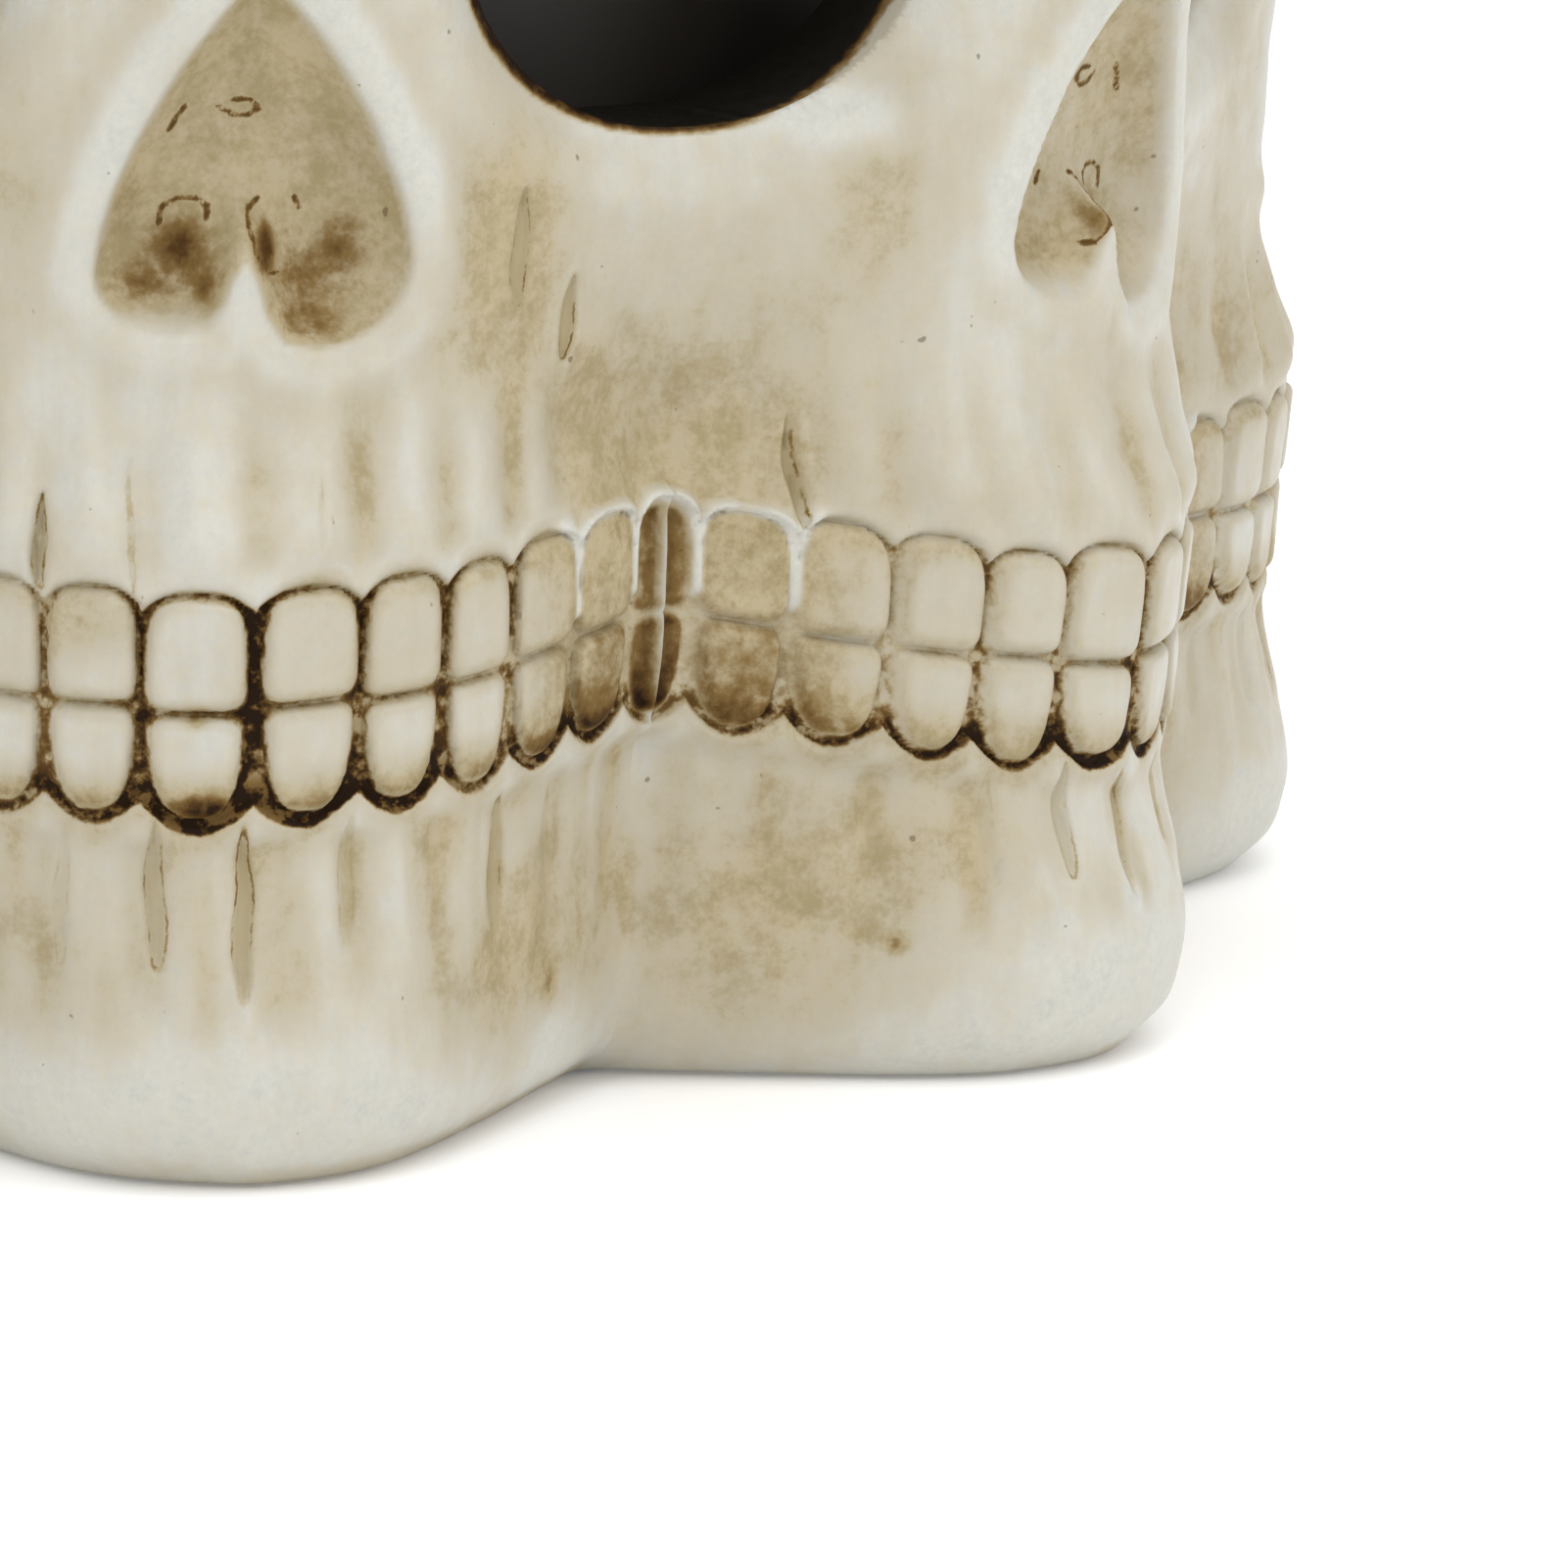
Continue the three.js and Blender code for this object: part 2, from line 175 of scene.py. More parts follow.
def soft_noise(angle, z, cells, tall, seed, number):
    """Smooth bumps from -1 to 1 round the whole ring, so that they match where one face meets the next."""
    cells *= face_count
    lattice = np.random.default_rng(seed).uniform(-1, 1, (cells, 400))
    across = (angle / (2 * half_sector) + 0.5 + number) * cells / face_count
    up = z / tall + 20
    i, j = np.floor(across).astype(int), np.floor(up).astype(int)
    u, v = across - i, up - j
    u, v = u * u * (3 - 2 * u), v * v * (3 - 2 * v)
    near = lattice[i % cells, j] * (1 - u) + lattice[(i + 1) % cells, j] * u
    far = lattice[i % cells, j + 1] * (1 - u) + lattice[(i + 1) % cells, j + 1] * u
    return near * (1 - v) + far * v


# Where the gaps between teeth lie, in degrees from the middle of a face. The last tooth is shared.
half_gaps = np.radians([0, 4.5, 8.45, 12.25, 16.4, 20.7, 24.3])
gap_angles = np.concatenate([-half_gaps[:0:-1], half_gaps])
tooth_count = len(gap_angles) - 1
upper_gap = 0.8
lower_gap = 1.0
lower_tip = 27.9
groove_depth = 0.85
crown_bulge = 0.55
crown_edge = 1.0
bone_edge = 1.1
bite_room_above = 0.15
bite_room_below = 0.3
# How square the corners of a crown are at the gums, at the bite line and at the lower tips.
gum_corner = 3.8
bite_corner = 6.5
tip_corner = 2.8


def share_up(z, low, high):
    """From -1 at the low end of a crown to 1 at its high end."""
    return (z - (high + low) / 2) / ((high - low) / 2)


def crown_depth(across, up, wide, corner):
    """How far points lie inside the rounded outline of a crown."""
    return (1 - (np.abs(across / wide) ** corner + np.abs(up) ** corner) ** (1 / corner)) * wide


def tooth_rows(angle, z, number):
    """How far each point lies inside an upper crown, a lower crown or the bone beyond the gums, in mm."""
    draw = np.random.default_rng(40 + number)
    lengths = draw.uniform(-0.45, 0.45, tooth_count)
    bites = draw.uniform(-0.35, 0.35, tooth_count)
    rooms = draw.uniform(0.75, 1.1, tooth_count + 1)
    strengths = draw.uniform(0.55, 1.0, tooth_count + 1)
    scallops = draw.uniform(0.6, 1.05, tooth_count)
    middle = tooth_count // 2
    lengths[[0, -1]] = 0
    rooms[[0, 1, -2, -1]] = 1
    rooms[middle] = 1.5
    strengths[middle] = 1.15
    scallops[[middle - 1, middle]] = 1.15, 1.05
    scallops[[0, 1, 2, -3, -2, -1]] = 0.95
    tooth = np.clip(np.searchsorted(gap_angles, angle) - 1, 0, tooth_count - 1)
    half = (gap_angles[tooth + 1] - gap_angles[tooth]) / 2 * bite_radius
    across = (angle - gap_angles[tooth]) * bite_radius - half
    right = np.where(across < 0, 0, 1)
    longer, bite, room = lengths[tooth], bite_height + bites[tooth], rooms[tooth + right]

    up = share_up(z, bite + bite_room_above, gum_height + longer)
    along = np.clip(up, -1.3, 1.3)
    wide = (half - room * upper_gap / 2) * (1 - 0.05 * along - 0.03 * along**2)
    upper = crown_depth(across, up, wide, np.where(up > 0, gum_corner, bite_corner))

    up = share_up(z, lower_tip + longer, bite - bite_room_below)
    down = np.clip((1 - up) / 2, 0, 1.4)
    wide = (half - room * lower_gap / 2) * (1 - 0.27 * down**1.6)
    lower = crown_depth(across, up, wide, np.where(up > 0, bite_corner, tip_corner))

    share = np.abs(across) / half
    gum_line = gum_height + longer + 0.4 - 1.7 * share**2.6
    jaw_line = jaw_height - 0.3 + longer / 2 + 2.4 * share**1.8
    bone = np.maximum(z - gum_line, jaw_line - z)
    beside = np.clip(tooth + 2 * right - 1, 0, tooth_count - 1)
    fading = 0.5 * share**2
    scallop = scallops[tooth] * (1 - fading) + scallops[beside] * fading
    return SimpleNamespace(
        upper=upper, lower=lower, bone=bone, share=share, strength=strengths[tooth + right], scallop=scallop
    )


slit_widest = 0.35


def leaf(across, z, low, high, thick):
    """Distance to an upright slit with narrow ends, negative inside."""
    along = np.clip((z - low) / (high - low), 0, 1)
    reach = np.hypot(across, z - (low + along * (high - low)))
    above, below = (along - slit_widest) / (1 - slit_widest), 1 - along / slit_widest
    taper = np.where(along > slit_widest, 0.8 * above**2, 0.5 * below**2)
    return reach - thick * (1 - taper)


# Slits as angle in degrees, lowest and highest point, half width and how sharp they are. Every face has the
# ones between the roots of the lower teeth. The others lie on single faces.
root_slits = [
    (-0.35, 15.8, 27.2, 0.85, 1.0),
    (-3.85, 17.8, 27.6, 0.85, 0.9),
    (4.10, 18.8, 27.2, 0.75, 0.5),
    (-7.70, 17.6, 27.0, 0.65, 0.4),
    (8.20, 19.4, 26.0, 0.50, 0.3),
    (12.0, 17.4, 25.8, 0.95, 0.8),
    (-12.2, 18.0, 25.6, 0.65, 0.4),
    (15.8, 17.4, 24.8, 0.60, 0.4),
]
gum_slits_front = [
    (-8.6, 45.8, 53.0, 0.60, 1.7),
    (-4.9, 45.8, 56.0, 0.28, 0.5),
    (2.7, 49.0, 55.0, 0.22, 0.3),
]
gum_slits_side = [(-16.15, 45.4, 55.0, 0.60, 1.6)]
cheek_slits = [(12.6, 67.0, 76.0, 0.95, 1.0), (15.7, 61.8, 68.4, 0.90, 1.0)]
face_slits = {
    1: gum_slits_front + cheek_slits,
    2: gum_slits_side,
    4: gum_slits_side + cheek_slits,
    5: gum_slits_front,
    7: gum_slits_side + gum_slits_front,
}


def slit_distance(angle, z, number):
    """Distance to the nearest slit, negative inside, and how sharp that slit is."""
    nearest = np.full_like(angle, 9.0)
    sharp = np.zeros_like(angle)
    for where, low, high, thick, sharpness in root_slits + face_slits.get(number, []):
        lean = 0.15 * np.sin(z / 2.1 + where) + 0.08 * np.sin(z / 0.9 + 3 * where)
        across = (angle - math.radians(where)) * bite_radius + lean
        distance = leaf(across, z, low, high, thick)
        sharp = np.where(distance < nearest, sharpness, sharp)
        nearest = np.minimum(nearest, distance)
    return nearest, sharp


# The nose opening as points across and up: pointed above, two lobes below, parted by the nasal spine. Each
# side is two curves, from the point above to the widest place and on round the lobe.
nose_right = [(0, 96.2), (4.6, 92.8), (12.3, 80.5), (13.1, 71.5), (13.0, 66.0), (7.5, 63.6), (2.6, 65.0)]
nose_left = [
    (0, 96.2), (-3.2, 92.5), (-11.4, 80.0), (-12.1, 70.8), (-12.0, 66.2), (-7.0, 65.2), (-3.2, 66.2),
]
nasal_spine = [(1.0, 67.3), (0.3, 69.6), (-0.45, 71.2), (-1.2, 69.8), (-1.7, 68.2)]
nose_depth = 4.6
nose_wall = 6.5
nose_wall_below = 3.0
curve_steps = 14


def bezier(a, b, c, d):
    """Points on a curve, without its last one."""
    t = np.linspace(0, 1, curve_steps, endpoint=False)[:, None]
    points = [np.array(p, float) for p in (a, b, c, d)]
    weights = [(1 - t) ** 3, 3 * t * (1 - t) ** 2, 3 * t**2 * (1 - t), t**3]
    return sum(w * p for w, p in zip(weights, points))


def nose_outline():
    right, left = [
        np.concatenate([bezier(*side[:4]), bezier(*side[3:]), [side[-1]]])
        for side in (nose_right, nose_left)
    ]
    return np.concatenate([right, nasal_spine, left[:0:-1]])


def segment_distance(x, y, start, end):
    """Distance from a straight piece of line."""
    (x0, y0), (x1, y1) = start, end
    along = ((x - x0) * (x1 - x0) + (y - y0) * (y1 - y0)) / ((x1 - x0) ** 2 + (y1 - y0) ** 2)
    along = np.clip(along, 0, 1)
    return np.hypot(x - x0 - along * (x1 - x0), y - y0 - along * (y1 - y0))


def outline_depth(x, y, outline):
    """Distance from an outline, positive inside."""
    nearest = np.full_like(x, 1e9)
    inside = np.zeros(x.shape, bool)
    for start, end in zip(outline, np.roll(outline, -1, axis=0)):
        nearest = np.minimum(nearest, segment_distance(x, y, start, end))
        (x0, y0), (x1, y1) = start, end
        if y0 != y1:
            crosses = (y0 > y) != (y1 > y)
            inside ^= crosses & (x < x0 + (y - y0) / (y1 - y0) * (x1 - x0))
    return np.where(inside, nearest, -nearest)


# The socket that two faces share, a soft-cornered oval cut straight out along the joint line.
socket_half_width = 22.5
socket_half_height = (socket_top - socket_bottom) / 2
socket_middle = (socket_top + socket_bottom) / 2
socket_squareness = 2.2
socket_lip = 5.0
socket_lip_width = 5.5


def socket_measure(across, z):
    """1 on the edge of the socket and more than 1 outside it."""
    wide = np.abs(across / socket_half_width) ** socket_squareness
    tall = np.abs((z - socket_middle) / socket_half_height) ** socket_squareness
    return (wide + tall) ** (1 / socket_squareness)


def face_features(angle, z, number):
    """Everything that is modelled on a face's front, as distances in mm and shares from 0 to 1."""
    f = tooth_rows(angle, z, number)
    f.skin = skin_radius(angle, z)
    f.side = np.abs(np.degrees(angle))
    f.slit, f.sharp = slit_distance(angle, z, number)
    f.across = f.skin * np.sin(angle)
    f.nose = outline_depth(f.across, z, nose_outline())
    to_joint = half_sector - np.abs(angle)
    f.joint = to_joint * bite_radius
    f.socket_across = f.skin * np.sin(to_joint)
    f.socket = (socket_measure(f.socket_across, z) - 1) * socket_half_height
    web_band = band(z, bite_height + 1, bite_height + 2.5, gum_height + 1.5, gum_height + 3)
    f.web = ease(f.side, 14.3, 16.2) * web_band * hump(f.upper, -0.35, 0.55)
    f.bead = band(z, 25.5, 27.5, gum_height, gum_height + 2.5) * hump(f.joint, 0, 0.5)
    f.chin_zone = band(z, 11, 17, 25, 27.5)
    f.lip_zone = band(z, gum_height + 1, gum_height + 5, gum_height + 11, gum_height + 26)
    return f


# How far the modelling stands out, or is cut in, from the plain swell.
lower_crown_bulge = crown_bulge - 0.2
web_height = 1.2
upper_root_swell = 0.62
lower_root_swell = 0.34
chin_flutes = 0.34
lip_flutes = 0.5
slit_depth = 0.55
slit_rim = 0.14
nose_rim = 0.75
septum_height = 2.6
socket_rim = 0.5
broad_dents = 0.22
fine_dents = 0.09


def relief(angle, z, number):
    """Distance from the axis to the modelled front of a face."""
    f = face_features(angle, z, number)
    proud = 1 - 0.75 * ease(f.side, 19.8, 21.2)
    upper = -groove_depth + (groove_depth + crown_bulge) * proud * dome(f.upper / crown_edge)
    lower = -groove_depth + (groove_depth + lower_crown_bulge) * proud * dome(f.lower / crown_edge)
    bone = -groove_depth * (1 - dome(f.bone / bone_edge))
    height = np.maximum(np.maximum(upper, lower), bone)
    height += web_height * f.web + web_height * f.bead

    swell = np.cos(math.pi * f.share) * (1 - ease(f.side, 11, 18))
    upper_roots = band(z, gum_height + 0.5, gum_height + 4, gum_height + 8, gum_height + 19)
    lower_roots = band(z, 12, 19, 24.5, 26.5)
    height += swell * (upper_root_swell * upper_roots + lower_root_swell * lower_roots)
    height += chin_flutes * f.chin_zone * soft_noise(angle, z, 27, 17.0, 91, number)
    height += lip_flutes * f.lip_zone * soft_noise(angle, z, 19, 26.0, 92, number)
    height -= slit_depth * f.sharp * (1 - ease(f.slit, -0.6, 0.3))
    height += slit_rim * f.sharp * hump(f.slit, 0.6, 0.45)

    wall = nose_wall + nose_wall_below * ease(z, nose_bottom + 11, nose_bottom + 2)
    height -= nose_depth * (1 - (1 - np.clip(f.nose / wall, 0, 1)) ** 2.2)
    height += nose_rim * hump(f.nose, -1.9, 2.0)
    spine_top = nasal_spine[2][0]
    height += septum_height * (hump(f.across, spine_top, 1.3) * ease(z, 80, 69) * ease(f.nose, -1, 2))

    rounding = socket_lip * (0.28 + 0.72 * np.clip(f.socket_across / socket_half_width, 0, 1) ** 1.5)
    height -= rounding * (1 - dome(f.socket / socket_lip_width)) * ease(f.socket, 6.5, 4.5)
    height += socket_rim * hump(f.socket, 6.5, 2.5)

    dents = broad_dents * soft_noise(angle, z, 9, 10.0, 7, number)
    height += dents + fine_dents * soft_noise(angle, z, 30, 3.0, 27, number)
    return f.skin + height


face_columns = 243


def face_rows():
    """Heights of the mesh rows, closest together on the teeth."""
    spans = [(chin_bottom, 5, 0.4), (5, 26, 0.5), (26, 48, 0.27), (48, 64, 0.42), (64, 98, 0.46)]
    spans += [(98, 146, 0.8), (146, rim_height, 0.5)]
    rows = [np.arange(low, high - step / 2, step) for low, high, step in spans]
    return np.append(np.concatenate(rows), rim_height)


def new_object(name, data):
    """An object in the scene."""
    made = bpy.data.objects.new(name, data)
    scene.collection.objects.link(made)
    return made


def closed_mesh(shape, name):
    """The mesh of a closed shape, with its faces turned outwards."""
    bmesh.ops.recalc_face_normals(shape, faces=shape.faces)
    mesh = bpy.data.meshes.new(name)
    shape.to_mesh(mesh)
    shape.free()
    return mesh


def add_ring(shape, outline, height):
    """A ring of points on an outline in X and Y."""
    return [shape.verts.new((x * mm, y * mm, height * mm)) for x, y in outline]


def join_rings(shape, lower, upper):
    """Faces between two rings of points, one of which may be a single point."""
    sides = max(len(lower), len(upper))
    for i in range(sides):
        j = (i + 1) % sides
        low = [lower[k % len(lower)] for k in (i, j)]
        high = [upper[k % len(upper)] for k in (j, i)]
        shape.faces.new(list(dict.fromkeys(low + high)))


def prism(outline, low, high, name):
    """A closed prism on an outline in X and Y, from one height to another, as an object to cut with."""
    shape = bmesh.new()
    floor, roof = add_ring(shape, outline, low), add_ring(shape, outline, high)
    shape.faces.new(floor[::-1])
    shape.faces.new(roof)
    join_rings(shape, floor, roof)
    return new_object(name, closed_mesh(shape, name))


def circle(radius, sides, x=0.0, y=0.0):
    turns = np.linspace(0, 2 * math.pi, sides, endpoint=False)
    return np.column_stack([x + radius * np.cos(turns), y + radius * np.sin(turns)])


# What is cut out of a face: the hollow back above a ledge, the ledge's opening, the seats of the plate, the
# screw and the foot, and half of each socket.
ledge_radius = 70.3
ledge_bottom = 6.6
ledge_top = 16.6
plate_seat_radius = 82.3
screw_radius = 76.3
screw_hole_radius = 2.0
screw_hole_top = 14.9
foot_radius = 95.0
foot_seat_radius = 8.3
foot_seat_top = 1.9
back_middle = 95.0
back_front = 0.1
back_width = 16.0
back_joint_radius = 82.8
ring_sides = 256
socket_sides = 220
foot_sides = 48
hole_sides = 24


def back_outline():
    depth = back_joint_radius * math.cos(half_sector)
    across = back_joint_radius * math.sin(half_sector)
    side = (back_middle - back_front * across - depth) / (across - back_width / 2)
    angles = np.linspace(-1.2 * half_sector, 1.2 * half_sector, 60)
    radius = lobe_radius(angles, back_middle, back_front, back_width, side)
    curve = np.column_stack([radius * np.sin(angles), -radius * np.cos(angles)])
    return np.concatenate([[(0, ledge_radius / 4)], curve])


def socket_cutter(side):
    turns = np.linspace(0, 2 * math.pi, socket_sides, endpoint=False)
    power = 2 / socket_squareness
    across = socket_half_width * np.sign(np.cos(turns)) * np.abs(np.cos(turns)) ** power
    up = socket_half_height * np.sign(np.sin(turns)) * np.abs(np.sin(turns)) ** power
    cutter = prism(np.column_stack([across, up]), ledge_radius, bite_radius + 12, "socket_cutter")
    lift = Matrix.Translation((0, 0, socket_middle * mm))
    upright = Matrix.Rotation(math.pi / 2, 4, "X")
    cutter.data.transform(Matrix.Rotation(side * half_sector, 4, "Z") @ lift @ upright)
    return cutter


below = -5.0
face_cutters = [
    prism(back_outline(), ledge_top, rim_height + 5, "back_cutter"),
    prism(circle(ledge_radius, ring_sides), below, rim_height + 1, "ledge_cutter"),
    prism(circle(plate_seat_radius, ring_sides), below, ledge_bottom, "plate_cutter"),
    prism(circle(screw_hole_radius, hole_sides, 0, -screw_radius), below, screw_hole_top, "screw_cutter"),
    prism(circle(foot_seat_radius, foot_sides, 0, -foot_radius), below, foot_seat_top, "foot_cutter"),
    socket_cutter(1),
    socket_cutter(-1),
]


def face_block(number):
    """The uncut face: its modelled front, closed by flat sides that meet near the axis."""
    angle, z = np.meshgrid(np.linspace(-half_sector, half_sector, face_columns), face_rows())
    radius = relief(angle, z, number)
    up = z + climb(angle, z, number)
    front = np.stack([radius * np.sin(angle), -radius * np.cos(angle), up], axis=2).reshape(-1, 3)
    rows, columns = angle.shape
    core = ledge_radius / 2
    corners = [
        (core * math.sin(a), -core * math.cos(a), height)
        for height in (chin_bottom, rim_height)
        for a in (-half_sector, half_sector)
    ]
    points = np.concatenate([front, corners]) * mm
    low_left, low_right, high_left, high_right = range(rows * columns, rows * columns + 4)
    grid = np.arange(rows * columns).reshape(rows, columns)
    quads = np.stack([grid[:-1, :-1], grid[:-1, 1:], grid[1:, 1:], grid[1:, :-1]], axis=2).reshape(-1, 4)
    faces = quads.tolist() + [
        [low_left, low_right, *grid[0, ::-1].tolist()],
        [*grid[-1].tolist(), high_right, high_left],
        [*grid[:, 0].tolist(), high_left, low_left],
        [*grid[::-1, -1].tolist(), low_right, high_right],
        [low_left, high_left, high_right, low_right],
    ]
    mesh = bpy.data.meshes.new("face_block")
    mesh.from_pydata(points.tolist(), [], faces)
    mesh.update()
    return mesh


def cut(mesh, cutters):
    """The mesh with every cutter taken away."""
    block = new_object("block", mesh)
    for cutter in cutters:
        step = block.modifiers.new("cut", "BOOLEAN")
        step.operation = "DIFFERENCE"
        step.solver = "MANIFOLD"
        step.object = cutter
    graph = bpy.context.evaluated_depsgraph_get()
    result = bpy.data.meshes.new_from_object(block.evaluated_get(graph))
    bpy.data.objects.remove(block)
    return result


def shade(mesh, sharp_degrees):
    """Smooth shading, with edges that turn by more than an angle left crisp."""
    mesh.shade_smooth()
    mesh.set_sharp_from_angle(angle=math.radians(sharp_degrees))


def vertex_points(mesh):
    points = np.empty(len(mesh.vertices) * 3, np.float32)
    mesh.vertices.foreach_get("co", points)
    return points.reshape(-1, 3).astype(float)


# How strongly each face's tooth lines are painted: the gaps of the upper teeth and the lower gum line.
upper_paint = [1.0, 0.72, 0.85, 0.9, 0.7, 0.95, 0.8, 0.85]
lower_paint = [1.0, 0.8, 0.9, 0.9, 0.75, 0.95, 0.85, 0.8]
# About how long a degree is on a face's front, a distance past the reach of any paint, and how far behind
# the front a point still counts as on it.
degree_length = 1.95
far = 4.0
front_skin = 0.4
# Single brown spots as face, angle in degrees, height, width, height of the spot and strength.
brown_spots = [
    (1, 15.9, 12.4, 1.3, 2.0, 0.6),
    (2, -11.4, 12.7, 0.9, 0.8, 0.7),
    (3, 14.0, 12.0, 1.2, 1.6, 0.6),
    (5, -15.5, 10.0, 1.5, 2.0, 0.6),
    (6, 11.0, 13.0, 1.0, 1.0, 0.6),
    (2, -12.6, 13.6, 1.6, 1.0, 0.25),
    (1, 15.3, 14.2, 1.0, 1.4, 0.35),
    (1, -2.3, 36.1, 0.9, 0.7, 0.9),
    (1, -2.0, 28.5, 2.2, 1.3, 1.1),
    (8, -14.0, 11.5, 1.4, 1.8, 0.6),
]
# Tan wash on both sides of every face as strength, degrees from the middle, spread in degrees, height and
# spread in height. Then patches on single faces where more or less of it was left, in the form of the spots.
# The patch with much less tan under the socket of face 2 is a painted highlight.
tan_zones = [(0.45, 20, 6, 56, 9), (0.45, 17, 6, 15.5, 6.5), (0.36, 12.5, 3.5, 76, 14)]
tan_patches_and_painted_highlight = [
    (1, 17.6, 56.0, 2.4, 6.5, 0.4),
    (1, 11.6, 68.0, 5.0, 12.0, 0.42),
    (1, -6.5, 43.0, 3.4, 2.4, 0.45),
    (1, 17.0, 7.0, 5.0, 4.0, -0.3),
    (1, -14.0, 88.0, 9.0, 12.0, 0.3),
    (1, -6.0, 15.5, 9.0, 4.5, 0.2),
    (1, 11.0, 14.5, 8.0, 5.0, 0.38),
    (2, -17.5, 51.0, 9.0, 5.5, 0.35),
    (2, -15.0, 8.5, 12.0, 4.0, 0.25),
    (2, 8.0, 21.0, 8.0, 4.0, 0.2),
    (2, -9.0, 22.0, 7.0, 4.0, 0.25),
    (2, -13.2, 19.4, 7.0, 4.5, 0.3),
    # Painted highlight on the lower lip of face 2's socket, drawn as a patch of much less tan.
    (2, -15.0, 80.8, 5.0, 2.4, -0.7),
    (3, -10.0, 52.0, 7.0, 8.0, 0.3),
    (4, 12.0, 70.0, 7.0, 10.0, 0.3),
    (4, -16.0, 52.0, 8.0, 6.0, 0.3),
    (5, -10.0, 16.0, 10.0, 5.0, 0.25),
    (6, 15.0, 54.0, 6.0, 7.0, 0.35),
    (7, -12.0, 70.0, 7.0, 11.0, 0.3),
    (8, 13.0, 14.0, 9.0, 5.0, 0.25),
]
# How far round a point the hollows are looked for that hold the wash.
cavity_reach = 1.9
# Smudges inside a nose as place across, height, width, height of the smudge and strength, then brush marks
# as points across and up: two hooks, a squiggle and small touches.
nose_smudges = [
    (-5.4, 71.8, 4.0, 4.4, 0.5),
    (-5.0, 72.2, 2.6, 3.0, 0.68),
    (-7.5, 69.8, 4.4, 3.0, 0.48),
    (-3.4, 70.0, 1.8, 3.2, 0.5),
    (1.4, 72.2, 1.2, 2.6, 0.7),
    (4.6, 70.0, 4.4, 4.8, 0.48),
    (8.0, 71.4, 3.6, 4.6, 0.5),
    (4.6, 66.8, 4.2, 2.4, 0.5),
    (-9.4, 77.0, 2.6, 6.5, 0.3),
    (0.0, 78.0, 5.0, 1.4, 0.14),
    (-6.0, 80.0, 3.0, 4.0, 0.12),
    (7.5, 78.0, 2.2, 4.5, 0.12),
]
nose_marks = [
    [(-6.8, 73.9), (-6.65, 75.4), (-5.3, 76.1), (-3.9, 76.1), (-2.9, 75.4), (-3.1, 74.5)],
    [(1.0, 76.0), (0.1, 75.4), (0.1, 74.0), (0.5, 72.2), (1.5, 70.6), (2.5, 70.3)],
    [(-2.3, 83.7), (-1.1, 83.0), (0.1, 82.9), (1.1, 83.5), (0.2, 84.3), (-1.1, 84.3)],
    [(4.1, 76.0), (4.5, 75.1)],
    [(-6.2, 81.9), (-5.7, 82.9), (-5.0, 84.0)],
]


def mark_distance(x, z, marks):
    """Distance to the nearest of some brush marks."""
    nearest = np.full_like(x, 9.0)
    for mark in marks:
        for start, end in zip(mark, mark[1:]):
            nearest = np.minimum(nearest, segment_distance(x, z, start, end))
    return nearest


def spots_on_face(f, spots):
    """How strong the listed spots are at each point of a face."""
    total = np.zeros_like(f.z)
    for face, where, up, wide, tall, strength in spots:
        if face == f.number:
            total += strength * hump((f.degrees - where) * degree_length, 0, wide) * hump(f.z, up, tall)
    return total


def line_paint(f):
    """How dark the lines round the teeth are, and the distance to the teeth and bone that they follow."""
    z, aside, strong = f.z, f.aside, f.lower_paint
    to_bite = z - bite_height
    at_tips = ease(z, 31.8, 29.4)
    upper_dark = f.upper_paint * (1 - 0.4 * aside) * f.strength
    upper_dark += 0.2 * aside * f.between_teeth * ease(z, gum_height - 2.2, gum_height - 0.6)
    lower_dark = strong * (1 - 0.3 * aside * (1 - at_tips)) * (0.58 + 0.52 * at_tips)
    lower_dark *= (1 - 0.35 * ease(f.side, 17, 21)) * f.scallop
    lower_dark += 0.25 * (1 - aside) * strong * f.scallop
    dark = np.where(to_bite > -1.2, upper_dark, lower_dark)
    dark *= 1 - 0.45 * hump(to_bite, 0, 0.8) * (1 - 0.7 * f.between_teeth)
    dark *= 1 - 0.42 * ease(z, gum_height - 0.8, gum_height + 0.5) * (1 - f.between_teeth)
    dark *= 1 - 0.5 * hump(to_bite, 0, 0.8) * ease(f.side, 13, 17)
    dark *= 1 - f.raised
    thicker = (0.28 + 0.17 * (1 - aside)) * strong**2 * (2 * f.scallop - 1)
    solid = np.maximum(np.maximum(f.upper, f.lower), f.bone)
    return dark, solid - at_tips * thicker * ease(f.bone, -0.8, 0.2)


